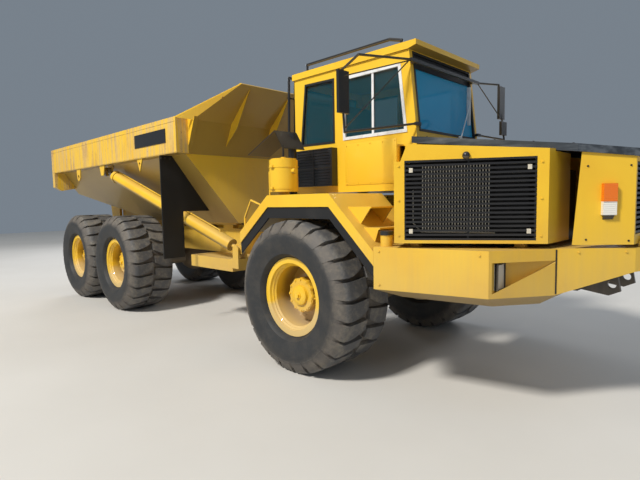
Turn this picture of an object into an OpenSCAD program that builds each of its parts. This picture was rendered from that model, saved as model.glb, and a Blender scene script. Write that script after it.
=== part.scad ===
// Articulated dump truck with six driven wheels, three on each side.
// X points forward, Y to the left and Z up, with the ground at Z = 0.
// Long dimensions are measured from the front axle, forward positive.

/* [Truck] */
// Front axle to the first bogie axle
wheelbase = 4250; // [4100:10:4500]
// Between the two bogie axles
bogie_gap = 1680; // [1620:10:1760]
// Front axle to the foremost point of the nose
front_overhang = 2710; // [2690:10:2800]
// Rear axle to the end of the dump body
rear_overhang = 1190; // [1150:10:1300]
// Height of the axles above the ground
axle_z = 765; // [755:5:775]
// Between the middles of the tyres on one axle
track = 2280; // [2240:10:2320]
// Front axle to the vertical steering pin
hitch_back = 1300; // [1250:10:1350]

/* [Wheels] */
// Radius of the tyre over its lugs
tyre_r = 765; // [755:5:775]
// Width of the tyre at its widest
tyre_w = 750; // [700:10:760]
// Radius of the bead seat, half of a 25 inch rim
seat_r = 317.5; // [315:0.5:320]
// Width between the outsides of the rim flanges
rim_w = 560; // [520:10:600]
// Radius of the rim flange
flange_r = 395; // [385:5:405]
// Thickness of the rim plate
rim_plate = 14; // [10:1:20]
// Radius of the spindle in its hub
spindle_r = 90; // [80:1:100]

/* [Front unit] */
// Half width over the outsides of the front frame beams
front_frame_half = 430; // [410:5:450]
// Width of each frame beam
beam_w = 100; // [80:5:120]
// Top of the front frame
front_frame_top = 1240; // [1200:10:1280]
// Depth of the front frame beams
front_beam_h = 280; // [240:10:320]
// Half width of the truck over its fenders
fender_half = 1400; // [1380:5:1420]
// Top of the fender
fender_top = 1777; // [1750:1:1800]
// Fender plate thickness
fender_plate = 12; // [8:1:16]
// Top of the bumper
bumper_top = 1320; // [1300:5:1340]
// Bottom of the bumper
bumper_bottom = 966; // [940:2:990]
// Bumper plate thickness
bumper_plate = 12; // [8:1:16]

/* [Cab] */
// Half width of the cab
cab_half = 620; // [600:5:640]
// Bottom of the cab
cab_z = 1800; // [1790:5:1830]
// Underside of the roof
cab_top = 3130; // [3100:5:3150]
// Height of the roof edge
roof_h = 70; // [60:5:90]
// Window heads below the underside of the roof
window_drop = 85; // [80:5:110]
// Rear wall of the cab
cab_rear = -760; // [-780:5:-745]
// Front of the cab at the foot of the windscreen
cab_front = 930; // [915:5:950]
// How far the windscreen leans back to its top
screen_lean = 85; // [60:5:100]
// Half width of the windscreen
screen_half = 560; // [530:5:575]
// Cab wall thickness
cab_wall = 45; // [35:1:60]
// Glass thickness
glass_t = 8; // [6:1:12]

/* [Hood] */
// Height of the hood top where it meets the cab
hood_rear_z = 2281; // [2260:1:2300]
// Height of the hood top at the nose
hood_front_z = 2048; // [2030:1:2070]
// Bottom of the hood and radiator housing
hood_bottom = 1360; // [1350:2:1380]
// Plate thickness of hood and housing
hood_plate = 12; // [8:1:20]

/* [Rear unit] */
// Half width over the outsides of the rear frame beams
rear_frame_half = 430; // [410:5:450]
// Top of the rear frame beams
rear_frame_top = 1330; // [1310:5:1340]
// Depth of the rear frame beams
rear_beam_h = 370; // [330:10:400]
// Radius of the tube that the rear frame rolls on
roll_r = 150; // [140:5:170]
// Height of the tube that the rear frame rolls on
roll_z = 1000; // [980:5:1020]
// Radius of the vertical steering pins
hitch_pin_r = 60; // [50:1:70]

/* [Dump body] */
// Half width over the body rails
body_half = 1450; // [1420:5:1470]
// Width of the box rail
rail_w = 175; // [150:5:190]
// Underside of the rail
rail_z = 2360; // [2330:5:2390]
// Height of the rail
rail_h = 455; // [430:5:470]
// Half width of the floor at its front
floor_half = 580; // [560:5:600]
// Underside of the floor at its front
floor_z = 1420; // [1410:1:1430]
// Underside of the floor at its rear edge
tail_z = 1950; // [1900:5:1980]
// Plate thickness of the dump body
body_plate = 16; // [12:1:20]
// Height of the foremost edge of the spill guard
spill_z = 3200; // [3150:10:3220]
// Tip pin ahead of the rear end of the body
tip_pin_x = 620; // [600:5:640]
// Height of the tip pin
tip_pin_z = 1240; // [1220:5:1260]
// Radius of the tip pin
tip_pin_r = 45; // [40:1:50]

/* [Cylinders] */
// Outside radius of the hoist cylinder barrel
hoist_r = 85; // [75:1:90]
// Radius of the hoist rod
hoist_rod_r = 50; // [40:1:55]
// Outside radius of the steering cylinder barrel
steer_r = 50; // [40:1:55]
// Radius of the steering rod
steer_rod_r = 25; // [20:1:30]

/* [Hidden] */
$fn = 48;

paint = "#e8b53a";
dark = "#2b2b2b";
rubber = "#3a3a3c";
steel = "#8a8c8e";
glass = "#3f8f9c";
amber = "#d9681d";

// Running fit of a shaft, seat of a fixed piece, gap of a moving piece, skin between
// welded plates of different nodes
run_gap = 0.05;
seat_gap = 0.3;
move_gap = 6;
skin = 0.1;

body_end = wheelbase + bogie_gap + rear_overhang;
overall_length = front_overhang + body_end;
front_axle_x = overall_length / 2 - front_overhang;

// Polygon in X and Z, extruded from y0 to y1
module along_y(y0, y1) {
  translate([0, y1, 0]) rotate([90, 0, 0]) linear_extrude(y1 - y0) children();
}

// Polygon in Y and Z, extruded from x0 to x1
module along_x(x0, x1) {
  translate([x0, 0, 0]) rotate([90, 0, 90]) linear_extrude(x1 - x0) children();
}

module both_sides() {
  children();
  mirror([0, 1, 0]) children();
}

module on_side(side) {
  if (side > 0) children();
  else mirror([0, 1, 0]) children();
}

module from_axle() {
  translate([front_axle_x, 0, 0]) children();
}

// Box from its low corner to its high corner
module span(low, high) {
  translate(low) cube(high - low);
}

// Round bar between two points
module bar(a, b, r) {
  d = b - a;
  translate(a) rotate([0, acos(d[2] / norm(d)), atan2(d[1], d[0])]) cylinder(h = norm(d), r = r);
}

// Round bars along Y and along Z, middle at the point
module pin_y(at, r, length) {
  translate(at) rotate([90, 0, 0]) cylinder(h = length, r = r, center = true);
}

module pin_z(at, r, length) {
  translate(at) cylinder(h = length, r = r, center = true);
}

// Bent tube: bars between the points with round corners
module tube_path(points, r) {
  for (i = [0 : len(points) - 2]) bar(points[i], points[i + 1], r);
  for (i = [1 : len(points) - 2]) translate(points[i]) sphere(r = r + 0.5);
}

// Outline moved inwards by t, points in counter clockwise order
function edge_normal(a, b) = [b[1] - a[1], a[0] - b[0]] / norm(b - a);
function corner_shift(n1, n2) = (n1 + n2) / (1 + n1 * n2);
function inset(p, t) = [for (i = [0 : len(p) - 1])
  let (a = p[(i + len(p) - 1) % len(p)], b = p[i], c = p[(i + 1) % len(p)])
  b - t * corner_shift(edge_normal(a, b), edge_normal(b, c))];

// Half outline with Y positive, closed by its mirror image on the right
function flip_y(p) = [p[0], -p[1]];
function mirrored(half) = concat([for (p = half) flip_y(p)],
  [for (i = [len(half) - 1 : -1 : 0]) half[i]]);
function lowered(line, t) = [for (p = line) p - [0, t]];
function band(line, t) = concat(line, [for (i = [len(line) - 1 : -1 : 0]) line[i] - [0, t]]);

// Wheels: row 0 is the front axle, 1 and 2 the bogie
wheel_x = [0, -wheelbase, -wheelbase - bogie_gap];

module at_wheel(row, side) {
  from_axle() translate([wheel_x[row], side * track / 2, axle_z])
    rotate([-90 * side, 0, 0]) children();
}

bead_gap = 1.5;
module tyre(row, side) {
  w = tyre_w / 2;
  // Radius and half width from the bead to the tread
  bead = rim_w / 2 - bead_gap;
  half = [[seat_r + seat_gap, bead - 36], [seat_r + 14, bead - 20], [flange_r + 2, bead - 14],
    [flange_r + 17, bead + 30], [560, w - 5], [610, w], [680, w - 12], [735, w - 50],
    [tyre_r, w - 95]];
  color(rubber) at_wheel(row, side) rotate_extrude()
    polygon(concat(half, [for (i = [len(half) - 1 : -1 : 0]) [half[i][0], -half[i][1]]]));
}

// Places across the wheel, outwards from its middle
hub_in = -200;
hub_out = 150;
spindle_out = 115;
disc_t = 24;
module rim(row, side) {
  e = rim_w / 2;
  lip = 14;
  well = seat_r - rim_plate;
  color(paint) at_wheel(row, side) difference() {
    rotate_extrude() polygon([
      [flange_r, e], [flange_r, e - lip], [seat_r + lip, e - 20], [seat_r, e - 34],
      [seat_r, 34 - e], [seat_r + lip, 20 - e], [flange_r, lip - e], [flange_r, -e],
      [seat_r, -e], [well, 20 - e], [well, -disc_t], [200, -disc_t], [200, hub_in],
      [0, hub_in], [0, hub_out + 25], [60, hub_out + 25], [110, hub_out], [170, hub_out],
      [170, 60], [215, 60], [215, 0], [well, 0], [well, e - 60], [seat_r + 10, e - 30],
      [seat_r + 20, e]]);
    translate([0, 0, hub_in - 1])
      cylinder(h = spindle_out + 11, r = spindle_r + run_gap);
  }
}

// Axle housing with its differential and spindles
diff_r = 250;
tube_r = 110;
module axle(x) {
  end = track / 2 + hub_in;
  translate([x, 0, axle_z]) {
    pin_y([0, 0, 0], tube_r, 2 * (end - move_gap));
    pin_y([0, 0, 0], spindle_r, 2 * (end + spindle_out));
    sphere(r = diff_r);
  }
}

front_beam_low = front_frame_top - front_beam_h;
beam_in = front_frame_half - beam_w;
module front_axle() {
  color(paint) from_axle() union() {
    axle(0);
    both_sides() span([-120, beam_in + 5, axle_z + 60],
      [120, front_frame_half - 5, front_beam_low]);
  }
}

module rear_axles() {
  color(paint) from_axle() for (row = [1, 2]) axle(wheel_x[row]);
}

// Front frame: beams, hitch plates, cab pillars and towing lugs
frame_front = 2300;
frame_rear = -900;
plate_top = 1190;
plate_low = 790;
plate_t = 60;
plate_r = 140;
steer_z = 880;
steer_foot = [-300, 400, steer_z];
steer_pin_r = 20;
tow_at = [2500, 1010];
tow_r = 32;
pillar_x = [-600, 640];
module front_frame() {
  color(dark) from_axle() difference() {
    union() {
      both_sides() {
        span([frame_rear, beam_in, front_beam_low],
          [frame_front, front_frame_half, front_frame_top]);
        span([frame_rear, 200, plate_low], [frame_rear + 60, 260, front_frame_top]);
        // Pillars under the cab and seats under the bumper top
        for (x = pillar_x) span([x, beam_in, front_frame_top],
          [x + 100, front_frame_half, cab_z]);
        span([2000, beam_in, front_frame_top],
          [2200, front_frame_half, bumper_top - bumper_plate]);
        // Pin that carries the steering cylinder
        pin_z([steer_foot[0], steer_foot[1], 900], steer_pin_r, 130);
        pin_z([steer_foot[0], steer_foot[1], 938], 50, 45);
        pin_z([steer_foot[0], steer_foot[1], 840], 35, 10);
        // Towing lugs under the nose
        along_y(230, 270) polygon([[frame_front - 100, front_beam_low],
          [frame_front - 100, front_beam_low + 180], [2540, front_beam_low + 110],
          [2560, front_beam_low], [2480, front_beam_low - 40]]);
        span([frame_front - 100, 200, front_beam_low],
          [frame_front, beam_in + 1, front_frame_top]);
      }
      span([frame_rear, -front_frame_half, front_beam_low],
        [frame_rear + 60, front_frame_half, front_frame_top]);
      for (x = [1050, 1850]) span([x, -front_frame_half, front_beam_low],
        [x + 100, front_frame_half, engine_low]);
      for (z = [plate_top, plate_low]) translate([0, 0, z - plate_t / 2])
        linear_extrude(plate_t) union() {
          translate([-hitch_back, 0]) circle(r = plate_r);
          polygon([[-hitch_back, -plate_r], [frame_rear + 60, -260],
            [frame_rear + 60, 260], [-hitch_back, plate_r]]);
        }
    }
    pin_z([-hitch_back, 0, roll_z], hitch_pin_r + run_gap, 1000);
    pin_y([tow_at[0], 0, tow_at[1]], tow_r, 900);
  }
}

engine_low = 1100;
module engine() {
  color(steel) from_axle() span([1020, -320, engine_low], [2050, 320, 1950]);
}

// Bumper: folded plate shell with a lamp pocket in each corner face
bumper_side = [[1018, 1406], [1920, 1198], [2236, 742], [2669, 362], [front_overhang, 300]];
nose_low = 1138;
lamp_x = 1935;
lamp_y = [1005, 1140];
lamp_z = [1020, 1220];
module lamp_pocket(grow) {
  hull() {
    span([lamp_x - grow, lamp_y[0] - 12 - grow, lamp_z[0] - 20 - grow],
      [lamp_x - grow + 2, 1200, lamp_z[1] + 10 + grow]);
    translate([2225, 740 - grow, lamp_z[1] + 5]) cube([20, 40, 5 + grow]);
  }
}
// Hinge of the hood on the bumper top
hood_axis = [2680, 1350];
hood_pin_r = 12;
hood_lug_y = [200, 230];
lug_plate = 25;
// Openings in the bumper top for the wheels' shafts and the engine
bay_x = [900, 1900, 2070];
bay_y = [900, 330];
module hood_hinge() {
  pin_y([hood_axis[0], (hood_lug_y[0] + hood_lug_y[1]) / 2, hood_axis[1]], hood_pin_r, 90);
  for (y = [hood_lug_y[0] - 35, hood_lug_y[1] + 10]) {
    span([hood_axis[0] - 14, y, bumper_top - 1],
      [hood_axis[0] + 14, y + lug_plate, hood_axis[1]]);
    along_y(y, y + lug_plate) translate(hood_axis) circle(r = 16);
  }
}
module bumper_shell() {
  outline = mirrored(bumper_side);
  intersection() {
    translate([0, 0, bumper_bottom]) linear_extrude(bumper_top - bumper_bottom)
      polygon(outline);
    union() {
      difference() {
        span([0, -2000, 0], [4000, 2000, 2000]);
        translate([0, 0, bumper_bottom - 1])
          linear_extrude(bumper_top - bumper_bottom - bumper_plate + 1)
          polygon(inset(outline, bumper_plate));
        span([bay_x[0], -bay_y[0], bumper_bottom - 1], [bay_x[1], bay_y[0], bumper_top + 1]);
        span([bay_x[0], -bay_y[1], bumper_bottom - 1], [bay_x[2], bay_y[1], bumper_top + 1]);
      }
      both_sides() lamp_pocket(bumper_plate);
    }
  }
}
module bumper() {
  color(paint) from_axle() union() {
    both_sides() hood_hinge();
    difference() {
      bumper_shell();
      both_sides() lamp_pocket(0);
      // Underside rises towards the nose
      along_y(-1500, 1500) polygon([[2236, bumper_bottom - 1], [2669, nose_low],
        [2800, nose_low + 20], [2800, 900], [2236, 900]]);
    }
  }
}

// Pan under the bumper: its sides slope inwards from the edge of the bumper
pan_low = 858;
pan_top = [[1018, 1406], [1920, 1198], [2236, 742]];
pan_foot = [[1090, 1090], [1840, 960], [2080, 620]];
module pan_block(t) {
  hull() {
    translate([0, 0, bumper_bottom - skin - 2]) linear_extrude(2 + 2 * t)
      polygon(inset(mirrored(pan_top), t));
    translate([0, 0, pan_low + t]) linear_extrude(2) polygon(inset(mirrored(pan_foot), t));
  }
}
module belly_pan() {
  color(paint) from_axle() difference() {
    pan_block(0);
    pan_block(bumper_plate);
    // Clear of the frame
    span([900, -front_frame_half - move_gap, bumper_bottom - 16],
      [2400, front_frame_half + move_gap, bumper_bottom + 1]);
  }
}

module headlamps() {
  color(glass) from_axle() both_sides()
    span([lamp_x + seat_gap, lamp_y[0], lamp_z[0]], [lamp_x + 20, lamp_y[1], lamp_z[1]]);
}

// Fender: flat top with sloping ends, edge band and brackets to the frame
fender_line = [[-860, 1380], [-370, fender_top], [500, fender_top], [1012, 1278]];
fender_in = 600;
edge_h = 110;
bracket_x = [-350, 440];
module fenders() {
  under = fender_top - fender_plate + 1;
  color(paint) from_axle() both_sides() {
    along_y(fender_in, fender_half) polygon(band(fender_line, fender_plate));
    along_y(fender_half - fender_plate, fender_half)
      polygon(band(fender_line, fender_plate + edge_h));
    for (x = bracket_x) along_x(x, x + 30) polygon([[front_frame_half + seat_gap, 1080],
      [front_frame_half + seat_gap, 1230], [fender_in, under], [fender_in + 300, under],
      [fender_in + 150, under - 140]]);
  }
}

lip_drop = 222;
module arch_lips() {
  y = fender_half - fender_plate - seat_gap;
  color(rubber) from_axle() both_sides() along_y(y - 20, y)
    polygon(band(lowered(fender_line, fender_plate + seat_gap), lip_drop));
}

// Two boarding steps on the front slope of each fender: height, nose and depth of cheek
step_y = [950, 1280];
step_t = 14;
steps = [[1652, 900, 150], [1470, 992, 120]];
function slope_x(z) = fender_line[2][0] + (fender_line[2][1] - z)
  * (fender_line[3][0] - fender_line[2][0]) / (fender_line[2][1] - fender_line[3][1]);
module fender_steps() {
  color(paint) from_axle() both_sides() for (s = steps) {
    top = [slope_x(s[0]) + skin, s[0]];
    foot = [slope_x(s[0] - s[2]) + skin, s[0] - s[2]];
    tread = [slope_x(s[0] - step_t) + skin, s[0] - step_t];
    along_y(step_y[0], step_y[1]) polygon([top, tread, [s[1], s[0] - step_t], [s[1], s[0]]]);
    for (y = [step_y[0], step_y[1] - step_t]) along_y(y, y + step_t)
      polygon([top, foot, [s[1] - 20, s[0] - step_t - 10], [s[1], s[0]]]);
  }
}

// Hand rail over the rear slope of each fender
rail_y = 1350;
fender_rail = [[-826, 1410], [-826, 1540], [-705, 1729], [-505, 1668]];
module fender_rails() {
  ground = [for (p = fender_line) p + [0, skin]];
  color(paint) from_axle() both_sides() difference() {
    tube_path([for (p = fender_rail) [p[0], rail_y, p[1]]], 12);
    along_y(rail_y - 50, rail_y + 50) polygon(concat(ground, [[1012, 0], [-860, 0]]));
  }
}

// Filler neck and its cap on the rear corner of the bumper
filler_at = [1075, -1300];
filler_r = 50;
filler_top = 1415;
module filler_neck() {
  color(paint) from_axle() translate([filler_at[0], filler_at[1], bumper_top + skin])
    cylinder(h = filler_top - bumper_top, r = filler_r);
}
module filler_cap() {
  color(dark) from_axle() translate([filler_at[0], filler_at[1], filler_top + 2 * skin])
    cylinder(h = 34, r = filler_r + 7);
}

// Cab: walls, floor and posts with their window openings
sill = 2350;
lintel = cab_top - window_drop;
roof_z = cab_top + roof_h;
floor_top = cab_z + cab_wall;
door_x = [-90, 690];
door_top = lintel + 10;
quarter_line = [[-655, sill + 10], [-130, sill + 2], [-130, lintel - 11], [-573, lintel]];
slider_line = [[10, sill + 14], [822, sill + 14], [745, lintel - 25], [10, lintel - 25]];
rear_half = 480;
hinge_r = 18;
hinge_pin_r = 8;
door_hinge = [door_x[0] + 12, cab_half + hinge_r + move_gap];
hinge_z = [2000, 2850];
cab_profile = [[cab_rear, cab_z], [cab_front, cab_z], [cab_front, sill],
  [cab_front - screen_lean, cab_top], [cab_rear, cab_top]];
// Front face of the cab at a height above the sill
function screen_x(z) = cab_front - screen_lean * (z - sill) / (cab_top - sill);
module window_y(x, side, z, y0, y1) {
  low = side > 0 ? y0 : -y1;
  high = side > 0 ? y1 : -y0;
  span([x[0], low, z[0]], [x[1], high, z[1]]);
}
module door_knuckles() {
  for (z = hinge_z) {
    translate([door_hinge[0], door_hinge[1], z]) {
      cylinder(h = 160, r = hinge_pin_r, center = true);
      for (dz = [-60, 60]) translate([0, 0, dz])
        cylinder(h = 40, r = hinge_r, center = true);
    }
    for (dz = [-80, 40]) {
      span([door_x[0] - 40, cab_half - 1, z + dz],
        [door_x[0] - 10, door_hinge[1] + 8, z + dz + 40]);
      span([door_x[0] - 11, door_hinge[1] - 8, z + dz],
        [door_hinge[0], door_hinge[1] + 8, z + dz + 40]);
    }
  }
}
module cab_shell() {
  out = cab_half + 1;
  in = cab_half - cab_wall - 1;
  above = cab_top + 100;
  color(paint) from_axle() union() {
    difference() {
      along_y(-cab_half, cab_half) polygon(cab_profile);
      along_y(cab_wall - cab_half, cab_half - cab_wall) polygon([
        [cab_rear + cab_wall, floor_top], [cab_front - cab_wall, floor_top],
        [cab_front - cab_wall, sill], [screen_x(above) - cab_wall, above],
        [cab_rear + cab_wall, above]]);
      both_sides() along_y(in, out) polygon(quarter_line);
      along_y(-out, -in) polygon(slider_line);
      window_y([door_x[0] - move_gap, door_x[1] + 2 * move_gap], 1,
        [floor_top, door_top + move_gap], in, out);
      span([screen_x(above) - cab_wall, -screen_half, sill + 20],
        [cab_front + 1, screen_half, cab_top - 20]);
      span([cab_rear - 1, -rear_half, sill], [cab_rear + cab_wall + 1, rear_half, lintel]);
    }
    door_knuckles();
  }
}

// Roof with a visor over the windscreen
visor_x = 935;
crown = 30;
module cab_roof() {
  y = cab_half + 20;
  rear = cab_rear - 20;
  color(paint) from_axle() union() {
    along_y(-y, y) polygon([[rear, cab_top + skin], [cab_front - screen_lean, cab_top + skin],
      [visor_x, cab_top + 22], [visor_x, roof_z], [rear, roof_z]]);
    along_y(90 - y, y - 90) polygon([[rear + 80, roof_z - 1], [visor_x - 90, roof_z - 1],
      [visor_x - 130, roof_z + crown], [rear + 120, roof_z + crown]]);
  }
}

module cab_glass() {
  g = (cab_wall - glass_t) / 2;
  s = seat_gap;
  z = [sill + s, lintel - s];
  y = [cab_half - g - glass_t, cab_half - g];
  low = sill + 20 + s;
  high = cab_top - 20 - s;
  color(glass) from_axle() {
    both_sides() along_y(y[0], y[1]) polygon(inset(quarter_line, s));
    along_y(-y[1], -y[0]) polygon(inset(slider_line, s));
    along_y(s - screen_half, screen_half - s) polygon([
      [screen_x(low) - g - glass_t, low], [screen_x(low) - g, low],
      [screen_x(high) - g, high], [screen_x(high) - g - glass_t, high]]);
    span([cab_rear + g, s - rear_half, z[0]], [cab_rear + g + glass_t, rear_half - s, z[1]]);
  }
}

door_rim = 80;
door_glass_in = 26;
module cab_door() {
  color(paint) from_axle() difference() {
    union() {
      span([door_x[0], cab_half - cab_wall + 2, floor_top + move_gap],
        [door_x[1], cab_half, door_top]);
      for (z = hinge_z) {
        pin_z([door_hinge[0], door_hinge[1], z], hinge_r, 60);
        span([door_hinge[0], cab_half - 1, z - 30],
          [door_hinge[0] + hinge_r, door_hinge[1], z + 30]);
      }
    }
    window_y([door_x[0] + door_rim, door_x[1] - door_rim], 1, [sill, lintel - door_rim],
      cab_half - cab_wall, cab_half + 1);
    for (z = hinge_z) pin_z([door_hinge[0], door_hinge[1], z], hinge_pin_r + run_gap, 70);
  }
}

module door_glass() {
  s = seat_gap;
  y = cab_half - door_glass_in;
  color(glass) from_axle() window_y([door_x[0] + door_rim + s, door_x[1] - door_rim - s], 1,
    [sill + s, lintel - door_rim - s], y, y + glass_t);
}

seat_x = -380;
module seat() {
  z = floor_top + skin;
  color(dark) from_axle() union() {
    span([seat_x + 140, -200, z], [seat_x + 540, 200, z + 260]);
    span([seat_x + 90, -250, z + 260], [seat_x + 590, 250, z + 380]);
    span([seat_x, -240, z + 260], [seat_x + 90, 240, z + 980]);
  }
}

desk_x = 600;
wheel_tilt = -20;
module steering_column() {
  z = floor_top + skin;
  color(dark) from_axle() union() {
    span([desk_x, -400, z], [desk_x + 240, 400, z + 480]);
    bar([desk_x, 0, z + 300], [desk_x - 130, 0, z + 650], 35);
    translate([desk_x - 125, 0, z + 640]) rotate([0, wheel_tilt, 0]) {
      rotate_extrude() translate([190, 0]) circle(r = 14);
      for (a = [0, 120, 240]) rotate([0, 90, a]) cylinder(h = 190, r = 10);
    }
  }
}

// Louvred box on the right wall of the cab
louvre_x = [-660, -90];
louvre_z = [1876, 2290];
louvre_out = 90;
blades = 13;
module louvre_box() {
  y = cab_half + seat_gap;
  pitch = (louvre_z[1] - louvre_z[0] - 36) / (blades - 1);
  color(dark) from_axle() difference() {
    span([louvre_x[0], -y - louvre_out, louvre_z[0]], [louvre_x[1], -y, louvre_z[1]]);
    for (i = [0 : blades - 1]) span([louvre_x[0] + 30, -y - louvre_out - 1,
      louvre_z[0] + 14 + i * pitch], [louvre_x[1] - 30, 20 - y - louvre_out,
      louvre_z[0] + 22 + i * pitch]);
  }
}

// Roof hand rails, and the tube guard behind the rear window
rail_r = 16;
guard_x = -868;
guard_z = [sill + 40, cab_top + 60];
guard_cross = [sill + 150, lintel - 95];
guard_half = 610;
roof_rail = [[-540, 0], [-540, 72], [620, 72], [760, 30], [760, 0]];
module cab_rails() {
  color(dark) from_axle() {
    both_sides() tube_path([for (p = roof_rail) [p[0], cab_half - 5, roof_z + skin + p[1]]],
      rail_r);
    both_sides() {
      tube_path([[guard_x, guard_half + 20, guard_z[0]], [guard_x, guard_half, guard_z[1]],
        [guard_x, guard_half - 100, guard_z[1]], [guard_x, guard_half - 80, guard_z[0]]],
        rail_r);
      for (z = guard_cross)
        bar([guard_x, guard_half - 40, z], [cab_rear - skin, guard_half - 40, z], 9);
    }
    for (z = guard_cross)
      bar([guard_x, -guard_half - 25, z], [guard_x, guard_half + 25, z], 11);
  }
}

// Mirrors hang from a bar across the windscreen; the right arm folds back
mirror_half = [70, 190];
mirror_bar_z = lintel - 35;
mirror_y = [1230, 1095];
arm_r = 11;
module mirror_panel(at, size) {
  translate(at) cube([30, 2 * size[0], 2 * size[1]], center = true);
}
module mirrors() {
  x = screen_x(mirror_bar_z) + 45;
  end = cab_half + 60;
  foot_z = sill + 70;
  top = mirror_bar_z;
  foot_x = screen_x(foot_z) + 20;
  color(dark) from_axle() union() {
    span([x - 15, -end, mirror_bar_z - 15], [x + 15, end, mirror_bar_z + 15]);
    both_sides() {
      span([screen_x(mirror_bar_z - 15) + skin, cab_half - 40, mirror_bar_z - 15],
        [x, cab_half - 10, mirror_bar_z + 15]);
      span([screen_x(foot_z - 15) + skin, cab_half - 40, foot_z - 15],
        [foot_x + 15, cab_half + 30, foot_z + 15]);
    }
    tube_path([[x, 10 - end, top], [700, 40 - mirror_y[0], top - 15],
      [520, -mirror_y[0], top - 130], [560, -mirror_y[0], foot_z - 90],
      [foot_x, -cab_half - 20, foot_z]], arm_r);
    tube_path([[x, end - 10, top], [960, mirror_y[1] - 5, top + 40],
      [1030, mirror_y[1] + 5, foot_z - 20], [foot_x, cab_half + 20, foot_z]], arm_r);
    mirror_panel([545, -mirror_y[0], top - 320], mirror_half);
    mirror_panel([990, mirror_y[1], top - 180], mirror_half);
    mirror_panel([1016, mirror_y[1] + 4, top - 480], [70, 80]);
  }
}

// Air cleaner on the right fender with its hand loop, rod and lid
cleaner_at = [-310, -1215];
cleaner_r = 150;
cleaner_z = [1810, 2140];
loop_x = 235;
module air_cleaner() {
  color(paint) from_axle() translate([cleaner_at[0], cleaner_at[1], 0]) union() {
    translate([0, 0, fender_top + skin]) cylinder(h = 40, r = 58);
    translate([0, 0, cleaner_z[0]]) cylinder(h = cleaner_z[1] - cleaner_z[0], r = cleaner_r);
    translate([0, 0, cleaner_z[1] - 1]) cylinder(h = 14, r = cleaner_r - 14);
    for (z = [1840, 2060]) translate([0, 0, z]) cylinder(h = 16, r = cleaner_r + 5);
    tube_path([[-loop_x, 0, fender_top + skin], [-loop_x, 0, 2030], [-cleaner_r + 20, 0, 2030]],
      9);
  }
}

// Exhaust stack with its folded rain hat
stack_at = [-405, -1000];
stack_r = 45;
hat_line = [[-889, 2244], [-421, 2462], [-296, 2272]];
hat_y = [-1235, -920];
hat_t = 10;
module exhaust() {
  color(dark) from_axle() union() {
    translate([stack_at[0], stack_at[1], fender_top + skin])
      cylinder(h = hat_line[1][1] - fender_top - 20, r = stack_r);
    translate([stack_at[0], stack_at[1], fender_top + skin]) cylinder(h = 16, r = 70);
    along_y(hat_y[0], hat_y[1]) polygon(band(hat_line, hat_t));
    translate([cleaner_at[0], cleaner_at[1], cleaner_z[1] + 13 + skin])
      cylinder(h = 140, r = 10);
  }
}

// Radiator housing: wing boxes beside the engine that carry the side grilles
hood_rear_x = 1000;
hood_skirt = 58;
function hood_z(x) = hood_rear_z
  + (hood_front_z - hood_rear_z) * (x - hood_rear_x) / (front_overhang - hood_rear_x);
wing_plan = [[975, 640], [2200, 640], [2200, 820], [1225, 1400], [975, 900]];
wing_mid = (wing_plan[2] + wing_plan[3]) / 2;
wing_slope = atan2(wing_plan[2][1] - wing_plan[3][1], wing_plan[2][0] - wing_plan[3][0]);
// Point and tilt of the sloping top
wing_top = [1314, 1347, 2141];
wing_tilt = [-2.55, 6.33, 0];
wing_nick = [[1150, 2006], [1267, 2006], [1325, 2175], [1150, 2175]];
bulkhead_half = 345;
grille_half = 486;
grille_z = [1385, 2012];
nose_a = [2345, 652];
nose_b = [2662, 395];
nose_slope = atan2(nose_b[1] - nose_a[1], nose_b[0] - nose_a[0]);
nose_dir = (nose_b - nose_a) / norm(nose_b - nose_a);
nose_low_z = hood_bottom - 14;
hood_plan = [[hood_rear_x, 810], nose_a + [0, 20], nose_b + [20, 0]];
// Space that the hood cover needs above the housing, t lower
module hood_room(t) {
  low = hood_skirt + move_gap + t;
  intersection() {
    along_y(-900, 900) polygon([[900, hood_z(900) - low], [2800, hood_z(2800) - low],
      [2800, 3000], [900, 3000]]);
    linear_extrude(3000) polygon(inset(mirrored([[hood_rear_x - 60, 810], hood_plan[1],
      hood_plan[2]]), -move_gap - t));
  }
}
module wing(t) {
  difference() {
    translate([0, 0, hood_bottom + t]) linear_extrude(1000) polygon(inset(wing_plan, t));
    translate(wing_top - [0, 0, t]) rotate(wing_tilt) translate([-2500, -2500, 0])
      cube([5000, 5000, 2000]);
    hood_room(t);
    along_y(1150 - t, 1500) polygon([for (p = wing_nick) p + [t, -t]]);
  }
}
module at_grille() {
  translate([wing_mid[0], wing_mid[1], 0]) rotate([0, 0, wing_slope]) children();
}
housing_feet = [[1250, 1150], [1950, 760]];
module radiator_housing() {
  front = wing_plan[1][0];
  color(paint) from_axle() both_sides() union() {
    difference() {
      wing(0);
      wing(hood_plate);
      at_grille() span([-grille_half, -40, grille_z[0]], [grille_half, 60, grille_z[1]]);
    }
    // Bulkhead behind the nose
    difference() {
      span([front - hood_plate, bulkhead_half, hood_bottom], [front, 660, 2060]);
      hood_room(0);
    }
    for (p = housing_feet)
      span([p[0], p[1], bumper_top + skin], [p[0] + 80, p[1] + 60, hood_bottom + 1]);
  }
}

slats = 19;
slat_h = 16;
module side_grilles() {
  w = grille_half - seat_gap;
  low = grille_z[0] + seat_gap;
  pitch = (grille_z[1] - grille_z[0] - 2 * seat_gap - slat_h) / (slats - 1);
  color(dark) from_axle() both_sides() at_grille() union() {
    for (i = [0 : slats - 1]) span([-w, -12, low + i * pitch],
      [w, 0, low + i * pitch + slat_h]);
    for (x = [-w, -6, w - 12]) span([x, -26, low], [x + 12, -11, grille_z[1] - seat_gap]);
  }
}

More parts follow.
